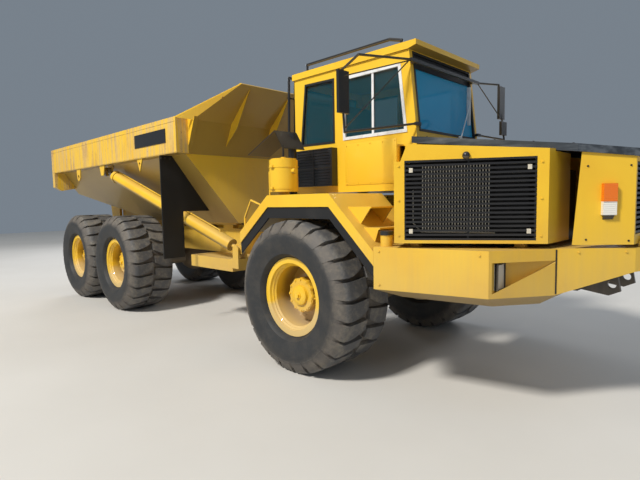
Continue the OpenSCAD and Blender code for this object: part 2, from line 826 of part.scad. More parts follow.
// Hood: nose with lamp panels and hinge lugs, under a sloping cover, tilting forward
nose_lean = 42;
screen_out = 360;
screen_z = [1420, 1960];
module nose_prism(z0, z1, back, t) {
  translate([0, 0, z0]) linear_extrude(z1 - z0)
    polygon(inset(mirrored([nose_a - nose_dir * back, nose_b]), t));
}
module hood() {
  end = nose_b[0] + 20;
  rear = nose_a[0] - 24;
  color(paint) from_axle() difference() {
    union() {
      intersection() {
        nose_prism(nose_low_z, 2300, 40, 0);
        // Rear edge leans forward, top stays under the cover
        along_y(-900, 900) polygon([[rear, nose_low_z], [end, nose_low_z],
          [end, hood_z(end) - hood_skirt],
          [rear + nose_lean, hood_z(rear + nose_lean) - hood_skirt]]);
      }
      both_sides() {
        along_y(hood_lug_y[0], hood_lug_y[1]) translate(hood_axis) circle(r = 22);
        span([nose_b[0] - 7, hood_lug_y[0], hood_axis[1]],
          [hood_axis[0], hood_lug_y[1], hood_axis[1] + 50]);
      }
    }
    pin_y([hood_axis[0], 0, hood_axis[1]], hood_pin_r + run_gap, 600);
    // Hollow, open at the rear
    nose_prism(0, 3000, 80, hood_plate);
    // Window for the nose grille
    span([nose_b[0] - 40, -screen_out, screen_z[0]], [nose_b[0] + 40, screen_out, screen_z[1]]);
  }
}

module hood_cover() {
  end = nose_b[0] + 20;
  top = [[hood_rear_x, hood_z(hood_rear_x)], [end, hood_z(end)]];
  room = [[0, hood_z(0) - hood_plate], [end, hood_z(end) - hood_plate], [end, 0], [0, 0]];
  color(dark) from_axle() difference() {
    intersection() {
      along_y(-900, 900) polygon(band(top, hood_skirt - skin));
      linear_extrude(3000) polygon(mirrored(hood_plan));
    }
    intersection() {
      along_y(-900, 900) polygon(room);
      linear_extrude(3000) polygon(inset(mirrored(hood_plan), 30));
    }
  }
}

grille_bars = 15;
bar_h = 18;
module front_grille() {
  x = nose_b[0];
  w = screen_out - seat_gap;
  low = screen_z[0] + seat_gap;
  high = screen_z[1] - seat_gap;
  pitch = (high - low - 12 - bar_h) / (grille_bars - 1);
  color(dark) from_axle() union() {
    for (i = [0 : grille_bars - 1]) span([x - 14, -w, low + 6 + i * pitch],
      [x - 2, w, low + 6 + i * pitch + bar_h]);
    for (y = [-w, -6, w - 12]) span([x - 30, y, low], [x - 13, y + 12, high]);
  }
}

// Two part lamp on each side panel of the nose
marker_mid = [2513, 515.7];
marker_z = [1568, 1668, 1800];
marker_half = 48;
module marker_lamps() {
  color(amber) from_axle() both_sides() translate([marker_mid[0], marker_mid[1], 0])
    rotate([0, 0, nose_slope]) union() {
      span([-marker_half, seat_gap, marker_z[1]], [marker_half, 40, marker_z[2]]);
      span([-marker_half, seat_gap, marker_z[0]], [marker_half, 34, marker_z[1] + 1]);
      along_x(12 - marker_half, marker_half - 12) polygon([[seat_gap, marker_z[0] - 34],
        [24, marker_z[0] - 10], [30, marker_z[0] + 1], [seat_gap, marker_z[0] + 1]]);
    }
}

// Hitch: steering pins above and below, and the tube that the rear frame rolls on
roll_front = -hitch_back - 300;
roll_end = -hitch_back - 900;
steer_arm = [-50, 320];
steer_eye = [-hitch_back + steer_arm[0], steer_arm[1], steer_z];
module hitch() {
  h = plate_top - plate_low - plate_t;
  color(steel) from_axle() union() {
    pin_z([-hitch_back, 0, (plate_top + plate_low) / 2], 130, h - 2 * move_gap);
    pin_z([-hitch_back, 0, (plate_top + plate_low) / 2], hitch_pin_r, h + 2 * plate_t + 30);
    along_x(roll_end, -hitch_back) translate([0, roll_z]) circle(r = roll_r);
    along_x(roll_front + 15, -hitch_back - 160) translate([0, roll_z]) circle(r = roll_r + 20);
    both_sides() for (z = [steer_z - 54, steer_z + 32]) {
      translate([steer_eye[0], steer_eye[1], z]) cylinder(h = 22, r = 60);
      span([steer_eye[0] - 60, 0, z], [steer_eye[0] + 60, steer_eye[1], z + 22]);
    }
  }
}

// Rear frame: two beams, the roll housing, hoist arms, bogie tube and tip pins
hoist_foot = [-1620, 865, 1095];
eye_out = 62;
hoist_eye = [-4600, body_half - rail_w + eye_out, 2255];
ball_r = 60;
ear_gap = 50;
ear_t = 22;
frame_end = 400 - body_end;
bogie_x = -wheelbase - bogie_gap / 2;
bogie_z = 1010;
bogie_pin_r = 80;
bearer_low = floor_z - 40;
tip_x = tip_pin_x - body_end;
coupling = [frame_end - 60, 0];
coupling_r = 25;
// Box beside the frame, behind the arm of the hoist foot
box_low = [-2740, 380, 800];
box_high = [-1700, 930, 962];
module rear_frame() {
  low = rear_frame_top - rear_beam_h;
  in = rear_frame_half - beam_w;
  color(paint) from_axle() difference() {
    union() {
      both_sides() {
        span([frame_end, in, low], [-2100, rear_frame_half, rear_frame_top]);
        // Arm and ears that carry the foot of the hoist cylinder
        span([hoist_foot[0] - 100, 180, 850],
          [hoist_foot[0] + 60, hoist_foot[1] + ear_gap + ear_t, 975]);
        for (y = [hoist_foot[1] - ear_gap - ear_t, hoist_foot[1] + ear_gap])
          along_y(y, y + ear_t) union() {
            translate([hoist_foot[0], hoist_foot[2]]) circle(r = 60);
            translate([hoist_foot[0] - 60, 960]) square([120, hoist_foot[2] - 960]);
          }
        pin_y(hoist_foot, 33, 2 * ear_gap + 2 * ear_t);
        span(box_low, box_high);
        translate(hoist_foot) rotate([90, 0, 0]) sphere(r = ball_r);
        for (x = [-2500, -3600, -4700, -5800]) span([x - 120, in, rear_frame_top],
          [x + 120, rear_frame_half, bearer_low - seat_gap]);
        along_y(in - 30, rear_frame_half + 80) translate([tip_x, tip_pin_z])
          circle(r = tip_pin_r);
      }
      for (x = [-2160, -4000, bogie_x, frame_end + 60])
        span([x - 60, 50 - rear_frame_half, low + 40],
          [x + 60, rear_frame_half - 50, rear_frame_top - 60]);
      along_x(roll_end - 20, roll_front) translate([0, roll_z]) circle(r = roll_r + 70);
      pin_y([bogie_x, 0, bogie_z], bogie_pin_r, 2 * 690);
      // Towing coupling behind the last cross beam
      for (z = [1000, 1100]) span([frame_end - 120, -90, z], [frame_end + 20, 90, z + 30]);
    }
    along_x(roll_end - 10, roll_front + 1) translate([0, roll_z])
      circle(r = roll_r + run_gap);
    pin_z([coupling[0], coupling[1], 1065], coupling_r, 200);
  }
}

beam_y = [560, 680];
module bogie_beams() {
  color(paint) from_axle() both_sides() along_y(beam_y[0], beam_y[1]) difference() {
    polygon([[wheel_x[2] - 160, axle_z - 70], [wheel_x[2], axle_z - 150],
      [wheel_x[1], axle_z - 150], [wheel_x[1] + 160, axle_z - 70],
      [wheel_x[1] + 160, axle_z + 110], [bogie_x + 130, bogie_z + 110],
      [bogie_x - 130, bogie_z + 110], [wheel_x[2] - 160, axle_z + 110]]);
    for (row = [1, 2]) translate([wheel_x[row], axle_z]) circle(r = tube_r + seat_gap);
    translate([bogie_x, bogie_z]) circle(r = bogie_pin_r + seat_gap);
  }
}

// Dump body: plate tub, cut by its side view and its cross section
seam_low = [-2180, rail_z];
seam_high = [-1970, rail_z + 410];
spill_x = -1500;
spill_half = 845;
lean = edge_normal([spill_x, spill_z], seam_high);
seam_top = seam_high + lean * (rail_z + rail_h - seam_high[1]) / lean[1];
rise_x = -4600;
rail_top = rail_z + rail_h;
wall_in = body_half - rail_w;
function floor_under(x) = x > rise_x ? floor_z
  : floor_z + (tail_z - floor_z) * (rise_x - x) / (rise_x + body_end);
function wall_z(y) = floor_z + (y - floor_half) * (rail_z - floor_z) / (wall_in - floor_half);
function wall_y(z) = floor_half + (z - floor_z) * (wall_in - floor_half) / (rail_z - floor_z);
body_side = [[-body_end, tail_z], [rise_x, floor_z], [-2020, floor_z], seam_low, seam_high,
  seam_top, [-body_end, rail_top]];
body_cross = [[-floor_half, floor_z], [floor_half, floor_z], [wall_in, rail_z],
  [wall_in, rail_top], [-wall_in, rail_top], [-wall_in, rail_z]];
module dump_body() {
  inner_side = inset(body_side, body_plate);
  inner_cross = inset(body_cross, body_plate);
  color(paint) from_axle() difference() {
    intersection() {
      along_x(-body_end, -1900) polygon(body_cross);
      along_y(-body_half, body_half) polygon(body_side);
    }
    // Load space, open above and at the rear
    intersection() {
      along_x(-body_end - 100, -1900)
        polygon([for (p = inner_cross) [p[0], p[1] > rail_z + 100 ? rail_top + 100 : p[1]]]);
      along_y(-body_half, body_half)
        polygon([inner_side[1] + 1.1 * (inner_side[0] - inner_side[1]), inner_side[1],
          inner_side[2], inner_side[3], inner_side[4], inner_side[4] + [0, 200],
          [-body_end - 250, rail_top + 200]]);
    }
  }
}

module body_rails() {
  color(paint) from_axle() both_sides() {
    span([-body_end, wall_in, rail_z], [-2100, body_half, rail_top]);
    along_x(-body_end, 130 - body_end) polygon([[wall_in, rail_z],
      [wall_y(2060) + seat_gap, 2060], [body_half - 120, 2010], [body_half, 2080],
      [body_half, rail_z]]);
  }
}

// Blank plate on the outside of each rail
plate_x = [-3285, -2368];
plate_z = [2508, 2690];
module rail_plates() {
  color(dark) from_axle() both_sides()
    span([plate_x[0], body_half + skin, plate_z[0]], [plate_x[1], body_half + 8, plate_z[1]]);
}

// Spill guard: leaning plate above the front wall, side ears, ribs and corner bars
ear_low = [-2099.9, body_half - 2, rail_top - 16];
rib_y = [-680, 0, 680];
rib_t = 16;
rib_foot = 2478;
module guard_plate() {
  along = [spill_x, spill_z] - seam_high;
  start = seam_high + along * skin / norm(along);
  n = lean * body_plate;
  intersection() {
    along_y(-body_half, body_half)
      polygon([start, [spill_x, spill_z], [spill_x, spill_z] + n, start + n]);
    linear_extrude(4000) polygon(mirrored([[-2100, wall_in], [seam_high[0], wall_in],
      [spill_x + 1, spill_half], [spill_x + 100, spill_half]]));
  }
}
// Point on the front wall at a height
function front_wall(z) = [seam_low[0] + skin
  + (z - seam_low[1]) * (seam_high[0] - seam_low[0]) / (seam_high[1] - seam_low[1]), z];
module guard_ear() {
  hull() {
    translate(ear_low) cube([2, 2, 16]);
    translate([seam_high[0], wall_in + skin, seam_high[1] + 1]) cube([2, 2, 16]);
    translate([spill_x - 2, spill_half - 2, spill_z]) cube([2, 2, 12]);
  }
}
module spill_guard() {
  color(paint) from_axle() union() {
    guard_plate();
    both_sides() guard_ear();
    // Ribs run down the front wall from the edge of the guard
    for (y = rib_y) along_y(y - rib_t / 2, y + rib_t / 2) polygon([
      front_wall(rib_foot), [-1850, 2700], [spill_x - 30, spill_z - 28],
      [spill_x - 38, spill_z - 27], front_wall(seam_high[1])]);
    both_sides() along_y(wall_in - 60, wall_in) polygon([front_wall(seam_low[1]),
      seam_low + [32, 0], [-1936, 2800], [-1925, 2812], front_wall(seam_high[1])]);
  }
}

// Bearers that rest on the frame, tip lugs, ears for the hoist rods and lashing lugs
lug_y = [rear_frame_half + 15, rear_frame_half + 65];
bearer_end = -6250;
eye_plates = [[wall_in + 1, wall_in + 11], [hoist_eye[1] + 75, hoist_eye[1] + 91]];
hang_y = [body_half - 30, body_half - 15];
point_lug = [-3200, 2290];
round_lug = [-5690, 2225];
module hanging_lugs() {
  along_y(hang_y[0], hang_y[1]) difference() {
    polygon([point_lug + [-90, rail_z - skin - point_lug[1]], point_lug + [0, -115],
      point_lug + [90, rail_z - skin - point_lug[1]]]);
    translate(point_lug) circle(r = 22);
  }
  along_y(hang_y[0], hang_y[1]) difference() {
    union() {
      polygon([round_lug + [-98, rail_z - skin - round_lug[1]], round_lug + [-70, -10],
        round_lug + [70, -10], round_lug + [98, rail_z - skin - round_lug[1]]]);
      translate(round_lug) circle(r = 74);
    }
    translate(round_lug) circle(r = 34);
  }
}
module body_lugs() {
  color(paint) from_axle() both_sides() {
    along_y(rear_frame_half - beam_w, rear_frame_half) polygon([[bearer_end, bearer_low],
      [-2300, bearer_low], [-2300, floor_z - skin], [rise_x, floor_z - skin],
      [bearer_end, floor_under(bearer_end) - skin]]);
    along_y(lug_y[0], lug_y[1]) difference() {
      polygon([[-6700, floor_under(-6700) - skin], [tip_x - 80, tip_pin_z - 60],
        [tip_x + 80, tip_pin_z - 60], [bearer_end, 1420],
        [bearer_end, floor_under(bearer_end) - skin]]);
      translate([tip_x, tip_pin_z]) circle(r = tip_pin_r + run_gap);
    }
    for (y = eye_plates) along_y(y[0], y[1]) polygon([
      [hoist_eye[0] - 120, rail_z - skin], [hoist_eye[0] - 60, hoist_eye[2] - 60],
      [hoist_eye[0] + 40, hoist_eye[2] - 60], [hoist_eye[0] + 95, rail_z - skin]]);
    hanging_lugs();
  }
}

// Rubber flap ahead of the bogie, open below around the hoist cylinder
flap_x = -2560;
flap_in = 1135;
flap_low = 960;
flap_step = 1600;
module mud_flaps() {
  color(rubber) from_axle() both_sides() along_x(flap_x - 10, flap_x + 10)
    polygon([[body_half, flap_low], [body_half, rail_z - seat_gap],
      [wall_in + 0.4, rail_z - seat_gap], [wall_y(flap_step) + 0.6, flap_step],
      [flap_in, flap_step], [flap_in, flap_low]]);
}

// Hoist cylinders: Z runs from the foot to the rod eye
hoist_length = norm(hoist_eye - hoist_foot);
eye_half = 32;
barrel_end = hoist_length - 240;
module hoist_frame(side) {
  d = hoist_eye - hoist_foot;
  from_axle() on_side(side) translate(hoist_foot)
    rotate([0, acos(d[2] / norm(d)), atan2(d[1], d[0])]) children();
}
module hoist_barrel(side) {
  color(paint) hoist_frame(side) difference() {
    union() {
      translate([0, 0, 150]) cylinder(h = barrel_end - 150, r = hoist_r);
      translate([0, 0, 64]) cylinder(h = 96, r = 28);
      translate([0, 0, barrel_end - 60]) cylinder(h = 60, r = hoist_r + 12);
      rotate([90, 0, 0]) cylinder(h = 2 * eye_half, r = 80, center = true);
    }
    translate([0, 0, 200]) cylinder(h = barrel_end - 260, r = hoist_rod_r + move_gap);
    translate([0, 0, 200]) cylinder(h = hoist_length, r = hoist_rod_r + run_gap);
    rotate([90, 0, 0]) sphere(r = ball_r + run_gap);
  }
}
module hoist_rod(side) {
  color(steel) hoist_frame(side) union() {
    translate([0, 0, 260]) cylinder(h = hoist_length - 400, r = hoist_rod_r);
    translate([0, 0, hoist_length - 150]) cylinder(h = 100, r = 28);
    translate([0, 0, hoist_length]) rotate([90, 0, 0])
      cylinder(h = 2 * eye_half, r = 75, center = true);
  }
}

// Steering cylinders: Z runs from the foot to the rod eye
steer_length = norm(steer_eye - steer_foot);
module steer_frame(side) {
  d = steer_eye - steer_foot;
  from_axle() on_side(side) translate(steer_foot)
    rotate([0, 90, atan2(d[1], d[0])]) children();
}
module steer_barrel(side) {
  color(paint) steer_frame(side) difference() {
    union() {
      translate([0, 0, 70]) cylinder(h = 610, r = steer_r);
      translate([0, 0, 30]) cylinder(h = 45, r = 26);
      rotate([0, 90, 0]) cylinder(h = 56, r = 45, center = true);
    }
    translate([0, 0, 100]) cylinder(h = 540, r = steer_rod_r + move_gap);
    translate([0, 0, 100]) cylinder(h = 900, r = steer_rod_r + run_gap);
    rotate([0, 90, 0]) cylinder(h = 60, r = steer_pin_r + run_gap, center = true);
  }
}
module steer_rod(side) {
  color(steel) steer_frame(side) union() {
    translate([0, 0, 400]) cylinder(h = steer_length - 440, r = steer_rod_r);
    translate([0, 0, steer_length]) rotate([0, 90, 0])
      cylinder(h = 50, r = 42, center = true);
  }
}

front_frame();
front_axle();
engine();
bumper();
belly_pan();
headlamps();
fenders();
fender_steps();
fender_rails();
filler_neck();
filler_cap();
arch_lips();
cab_shell();
cab_roof();
cab_glass();
cab_door();
door_glass();
seat();
steering_column();
louvre_box();
cab_rails();
mirrors();
air_cleaner();
exhaust();
radiator_housing();
side_grilles();
hood();
hood_cover();
front_grille();
marker_lamps();
hitch();
rear_frame();
rear_axles();
bogie_beams();
dump_body();
body_rails();
rail_plates();
spill_guard();
body_lugs();
mud_flaps();
hoist_barrel(1);  // hoist_barrel_left
hoist_barrel(-1);  // hoist_barrel_right
hoist_rod(1);  // hoist_rod_left
hoist_rod(-1);  // hoist_rod_right
steer_barrel(1);  // steer_barrel_left
steer_barrel(-1);  // steer_barrel_right
steer_rod(1);  // steer_rod_left
steer_rod(-1);  // steer_rod_right
tyre(0, 1);  // tyre_fl
tyre(0, -1);  // tyre_fr
tyre(1, 1);  // tyre_ml
tyre(1, -1);  // tyre_mr
tyre(2, 1);  // tyre_rl
tyre(2, -1);  // tyre_rr
rim(0, 1);  // rim_fl
rim(0, -1);  // rim_fr
rim(1, 1);  // rim_ml
rim(1, -1);  // rim_mr
rim(2, 1);  // rim_rl
rim(2, -1);  // rim_rr
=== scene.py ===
import math

import bmesh
import bpy
from mathutils import Matrix, Vector


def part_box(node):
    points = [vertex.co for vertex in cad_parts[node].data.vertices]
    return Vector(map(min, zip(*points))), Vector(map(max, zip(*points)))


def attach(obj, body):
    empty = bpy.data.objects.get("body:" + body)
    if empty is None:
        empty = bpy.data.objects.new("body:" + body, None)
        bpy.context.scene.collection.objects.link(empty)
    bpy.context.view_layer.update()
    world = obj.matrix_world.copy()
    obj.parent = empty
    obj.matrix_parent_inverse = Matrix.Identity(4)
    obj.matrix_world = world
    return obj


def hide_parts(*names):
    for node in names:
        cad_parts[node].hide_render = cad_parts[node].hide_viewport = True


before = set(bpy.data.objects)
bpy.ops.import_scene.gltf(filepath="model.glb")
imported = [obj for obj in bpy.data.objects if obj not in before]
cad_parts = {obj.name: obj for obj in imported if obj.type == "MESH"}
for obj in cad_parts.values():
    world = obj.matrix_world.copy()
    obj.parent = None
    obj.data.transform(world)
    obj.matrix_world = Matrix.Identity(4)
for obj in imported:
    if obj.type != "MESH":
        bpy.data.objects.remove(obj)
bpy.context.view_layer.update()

# Studio: a soft sky, one broad sun-like lamp high on the right, weak panels ahead, behind
# and on the left, and the camera at a standing person's eye height off the right front.
CAMERA_AT = Vector((5.645, -4.492, 1.703))
CAMERA_YAW, CAMERA_PITCH, CAMERA_ROLL = 134.616, -4.667, -0.996
LENS_MM, SENSOR_MM = 26.436, 36
SKY_COLOUR, SKY_STRENGTH = (0.72, 0.85, 1.0, 1), 0.26
SUNLIGHT, COOL_LIGHT, PALE_LIGHT = (1.0, 0.96, 0.88), (0.92, 0.96, 1.0), (0.96, 0.97, 1.0)
SUN_SIZE, PANEL_SIZE = 3.6, 6.0


def camera_turn(yaw, pitch, roll):
    yaw, pitch, roll = (math.radians(a) for a in (yaw, pitch, roll))
    ahead = Vector((math.cos(yaw) * math.cos(pitch), math.sin(yaw) * math.cos(pitch), math.sin(pitch)))
    level = Vector((math.sin(yaw), -math.cos(yaw), 0))
    up = level.cross(ahead)
    right = level * math.cos(roll) + up * math.sin(roll)
    top = up * math.cos(roll) - level * math.sin(roll)
    return Matrix((right, top, -ahead)).transposed()


camera = bpy.data.objects.new("camera", bpy.data.cameras.new("camera"))
camera.data.sensor_width = SENSOR_MM
camera.data.lens = LENS_MM
aim = camera_turn(CAMERA_YAW, CAMERA_PITCH, CAMERA_ROLL).to_4x4()
camera.matrix_world = Matrix.Translation(CAMERA_AT) @ aim
bpy.context.scene.collection.objects.link(camera)
bpy.context.scene.camera = camera

sky = bpy.data.worlds.new("sky")
sky.use_nodes = True
sky.node_tree.nodes["Background"].inputs["Color"].default_value = SKY_COLOUR
sky.node_tree.nodes["Background"].inputs["Strength"].default_value = SKY_STRENGTH
bpy.context.scene.world = sky
bpy.context.scene.view_settings.view_transform = "Standard"


def lamp(name, at, target, size, watts, colour):
    light = bpy.data.lights.new(name, "AREA")
    light.size = size
    light.energy = watts
    light.color = colour
    holder = bpy.data.objects.new(name, light)
    holder.location = at
    holder.rotation_euler = (Vector(target) - Vector(at)).to_track_quat("-Z", "Y").to_euler()
    bpy.context.scene.collection.objects.link(holder)


lamp("sun_panel", (1.0, -19.0, 20.0), (0.5, 0, 1.2), SUN_SIZE, 7600, SUNLIGHT)
lamp("front_panel", (12.0, -3.0, 6.0), (2, 0, 1.5), PANEL_SIZE, 70, COOL_LIGHT)
lamp("rear_panel", (-13.0, 5.0, 8.0), (-1, 0, 1), PANEL_SIZE, 520, PALE_LIGHT)
lamp("left_panel", (3.0, 15.0, 8.0), (0, 0, 1), PANEL_SIZE, 560, PALE_LIGHT)

# Painted steel: yellow enamel with deeper patches, dust that thickens towards the ground
# and lies on faces that look up, painted shade on faces that look down, and rust in pits and
# thin runs. The body's rails are faded and stained too, the frames and trim are black, and
# the hood's cover is slate.
YELLOW = (0.86, 0.53, 0.030, 1)
YELLOW_FADED = (0.66, 0.46, 0.19, 1)
YELLOW_DEEP = (0.76, 0.42, 0.020, 1)
BLACK, BLACK_WORN = (0.012, 0.012, 0.014, 1), (0.022, 0.021, 0.021, 1)
OILY_BLACK, OILY_BROWN = (0.030, 0.026, 0.022, 1), (0.06, 0.045, 0.03, 1)
SLATE, SLATE_PALE = (0.022, 0.028, 0.037, 1), (0.055, 0.068, 0.085, 1)
SLATE_FADED, SLATE_STAIN = (0.085, 0.10, 0.12, 1), (0.16, 0.17, 0.18, 1)
DUST = (0.34, 0.27, 0.19, 1)
RUST = (0.20, 0.065, 0.022, 1)
STAIN = (0.42, 0.20, 0.045, 1)
# Painted shade: the dark brown given to faces that look down.
UNDERSIDE_SHADE = (0.15, 0.11, 0.045, 1)
UPRIGHT_GRAIN, LENGTHWISE_GRAIN = (11.0, 11.0, 0.6), (0.7, 9.0, 9.0)


class Wire:
    """A shader socket that takes part in sums; make() adds any other node."""

    def __init__(self, tree, socket=None):
        self.tree = tree
        self.socket = socket

    def make(self, kind, settings, values, output=0):
        node = self.tree.nodes.new("ShaderNode" + kind)
        for key, value in settings.items():
            setattr(node, key, value)
        for key, value in values.items():
            if isinstance(value, Wire):
                self.tree.links.new(value.socket, node.inputs[key])
            else:
                node.inputs[key].default_value = value
        return Wire(self.tree, node.outputs[output])

    def math(self, operation, *terms):
        return self.make("Math", {"operation": operation}, dict(enumerate(terms or (self,))))

    def __add__(self, other):
        return self.math("ADD", self, other)

    __radd__ = __add__

    def __sub__(self, other):
        return self.math("SUBTRACT", self, other)

    def __rsub__(self, other):
        return self.math("SUBTRACT", other, self)

    def __mul__(self, other):
        return self.math("MULTIPLY", self, other)

    __rmul__ = __mul__

    def noise(self, scale, detail=4.0, rough=0.55):
        return self.make("TexNoise", {},
                         {"Vector": self, "Scale": scale, "Detail": detail, "Roughness": rough})

    def stretched(self, size):
        return self.make("Mapping", {}, {"Vector": self, "Scale": size})

    def between(self, low, high):
        """0 at low, 1 at high, smooth between."""
        return self.make("MapRange", {"interpolation_type": "SMOOTHSTEP"},
                         {"Value": self, "From Min": low, "From Max": high})

    def blend(self, below, above):
        """Colour below where this is 0, above where it is 1."""
        return self.make("Mix", {"data_type": "RGBA"}, {0: self, 6: below, 7: above}, 2)

    def along(self, axis):
        return self.make("SeparateXYZ", {}, {"Vector": self}, axis)


def finish_named(name, metallic=0.0, coat=0.0):
    """New material: its shader, and the place on the piece."""
    material = bpy.data.materials.new(name)
    material.use_nodes = True
    shader = material.node_tree.nodes["Principled BSDF"]
    shader.inputs["Metallic"].default_value = metallic
    shader.inputs["Coat Weight"].default_value = coat
    place = Wire(material.node_tree).make("TexCoord", {}, {}, "Object")
    return material, shader, place


def set_finish(shader, place, colour, roughness, height=None, strength=0.3, distance=0.004):
    for key, value in (("Base Color", colour), ("Roughness", roughness)):
        if isinstance(value, Wire):
            place.tree.links.new(value.socket, shader.inputs[key])
        else:
            shader.inputs[key].default_value = value
    if height:
        bump = place.make("Bump", {}, {"Height": height, "Strength": strength, "Distance": distance})
        place.tree.links.new(bump.socket, shader.inputs["Normal"])


def weathered_and_shaded_paint(name, colour, deep, dust_top, rust_share, grime=0.25, faded=None, stain=STAIN,
                    grain=UPRIGHT_GRAIN):
    """Enamel, painted darker on faces that look down as painted shade; ground dust reaches about dust_top
    metres, and a lower rust_share gives more rust.
    """
    material, shader, place = finish_named(name, coat=0.12)
    height = place.along(2)
    facing = place.make("NewGeometry", {}, {}, 1).along(2)
    facing_up, facing_down = facing.between(0.35, 0.9), facing.between(-0.12, -0.45)
    patches = place.noise(1.1, 5).between(0.42, 0.68)
    specks = place.noise(26.0, 6, 0.7)
    runs = place.stretched(grain).noise(1.5, 5, 0.6)
    low_dust = (height * -1.0 + runs * 0.5).between(-dust_top, 0.15 - dust_top * 0.3)
    rust = (specks * 0.6 + runs * 0.4).between(rust_share, rust_share + 0.05)
    painted = (patches * 0.6).blend(colour, deep)
    if faded:
        stains = (place.noise(1.9, 6, 0.72) * 0.6 + runs * 0.4).between(0.50, 0.64)
        painted = (stains * 0.45).blend(runs.between(0.40, 0.66).blend(painted, faded), stain)
    # Faces that look down are painted darker and browner, as painted shade.
    shaded = (facing_down * 0.7).blend(painted, UNDERSIDE_SHADE)
    dusty = (low_dust * 0.45 + facing_up * grime).blend(shaded, DUST)
    roughness = low_dust * 0.25 + rust * 0.3 + facing_up * 0.2 + 0.36
    relief = place.noise(60.0, 3) * 0.4 + rust * 0.7 + low_dust * place.noise(180.0, 2)
    set_finish(shader, place, rust.blend(dusty, RUST), roughness, relief, 0.12)
    return material


def coat_nodes(material, *names):
    for name in names:
        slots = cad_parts[name].data.materials
        slots.clear()
        slots.append(material)


yellow = weathered_and_shaded_paint("yellow_paint", YELLOW, YELLOW_DEEP, 1.5, 0.655)
body_yellow = weathered_and_shaded_paint("body_paint", YELLOW, YELLOW_DEEP, 2.3, 0.62, 0.75)
rail_yellow = weathered_and_shaded_paint("rail_paint", YELLOW, YELLOW_DEEP, 2.3, 0.60, 0.75, YELLOW_FADED)
black_paint = weathered_and_shaded_paint("black_paint", BLACK, BLACK_WORN, 1.2, 0.69, 0.1)
chassis_paint = weathered_and_shaded_paint("chassis_paint", OILY_BLACK, OILY_BROWN, 1.4, 0.62)
slate_paint = weathered_and_shaded_paint("slate_paint", SLATE, SLATE_PALE, 0.3, 0.69, 0.05, SLATE_FADED,
                              SLATE_STAIN, LENGTHWISE_GRAIN)
coat_nodes(yellow, "bumper", "belly_pan", "fenders", "fender_steps", "fender_rails", "filler_neck",
           "cab_shell", "cab_roof", "cab_door", "radiator_housing", "hood", "air_cleaner", "rear_frame",
           "bogie_beams", "hoist_barrel_left", "hoist_barrel_right", "steer_barrel_left",
           "steer_barrel_right")
coat_nodes(body_yellow, "dump_body", "spill_guard", "body_lugs")
coat_nodes(rail_yellow, "body_rails")
coat_nodes(black_paint, "front_frame", "louvre_box", "cab_rails", "mirrors", "side_grilles",
           "front_grille", "exhaust", "filler_cap", "rail_plates")
coat_nodes(slate_paint, "hood_cover")
coat_nodes(chassis_paint, "engine", "front_axle", "rear_axles", "hitch")

# Flaps and arch lips: thick black sheet rubber, dull, and greyer in patches of dry dust.
# The cab's window seals and sun band are given the same finish further down.
sheet_rubber, rubber_shader, rubber_place = finish_named("sheet_rubber")
rubber_dust = rubber_place.noise(3.0, 6, 0.65).between(0.5, 0.8)
set_finish(rubber_shader, rubber_place,
           rubber_dust.blend((0.006, 0.0065, 0.008, 1), (0.020, 0.019, 0.019, 1)),
           rubber_dust * 0.25 + 0.6, rubber_place.noise(90.0, 4), 0.2)
coat_nodes(sheet_rubber, "arch_lips", "mud_flaps")

# Cylinder rods: hard chrome on the hoist and steering rods, with a film of oil and dust
# that dulls and browns it in patches.
chrome, chrome_shader, chrome_place = finish_named("rod_chrome", metallic=1.0)
rod_film = chrome_place.noise(6.0, 5).between(0.4, 0.7)
set_finish(chrome_shader, chrome_place, rod_film.blend((0.62, 0.62, 0.64, 1), (0.34, 0.30, 0.25, 1)),
           rod_film * 0.3 + 0.12, chrome_place.noise(200.0, 2), 0.05)
coat_nodes(chrome, "hoist_rod_left", "hoist_rod_right", "steer_rod_left", "steer_rod_right")

# Panes: dark tinted cab glass with a painted sky reflection, brighter and bluer where it
# faces forwards, and the pale covers of the headlamps. Both have thin dust in soft patches.
# The windscreen's bright blue is a painted sky reflection.
GLASS_TINT, SCREEN_SKY_REFLECTION = (0.008, 0.065, 0.090, 1), (0.006, 0.46, 0.86, 1)
LENS_TINT = (0.62, 0.62, 0.58, 1)


def pane(name, tint, front_tint_and_reflection, alpha, dust_share):
    material, shader, place = finish_named(name)
    film = place.noise(2.2, 5).between(0.45, 0.8)
    to_front = place.make("TexCoord", {}, {}, "Normal").along(0).between(0.5, 0.9)
    # Painted sky reflection: glass that faces forwards is given the brighter, bluer front colour.
    glass = to_front.blend(tint, front_tint_and_reflection)
    set_finish(shader, place, (film * dust_share).blend(glass, DUST), film * 0.12 + 0.05)
    solid = film * 0.12 + to_front * 0.15 + alpha
    place.tree.links.new(solid.socket, shader.inputs["Alpha"])
    return material


cab_tint = pane("cab_tint", GLASS_TINT, SCREEN_SKY_REFLECTION, 0.38, 0.06)
lamp_lens = pane("lamp_lens", LENS_TINT, LENS_TINT, 0.8, 0.2)
coat_nodes(cab_tint, "cab_glass", "door_glass")
coat_nodes(lamp_lens, "headlamps")

# Marker lamps: from the top an amber lens, a clear one and a black base, coloured by
# height in metres, with level ribs across them.
AMBER_FROM, CLEAR_FROM, LENS_EDGE = 1.668, 1.568, 0.0005
AMBER, CLEAR, LAMP_BASE = (0.80, 0.17, 0.004, 1), (0.80, 0.78, 0.72, 1), (0.01, 0.01, 0.01, 1)
marker, marker_shader, marker_place = finish_named("marker_lens", coat=0.5)
marker_height = marker_place.along(2)
lens = marker_height.between(AMBER_FROM - LENS_EDGE, AMBER_FROM + LENS_EDGE).blend(CLEAR, AMBER)
above_base = marker_height.between(CLEAR_FROM - LENS_EDGE, CLEAR_FROM + LENS_EDGE)
ribs = (marker_height * 420.0).math("SINE")
set_finish(marker_shader, marker_place, above_base.blend(LAMP_BASE, lens), 0.22, ribs, 0.25, 0.002)
coat_nodes(marker, "marker_lamps")

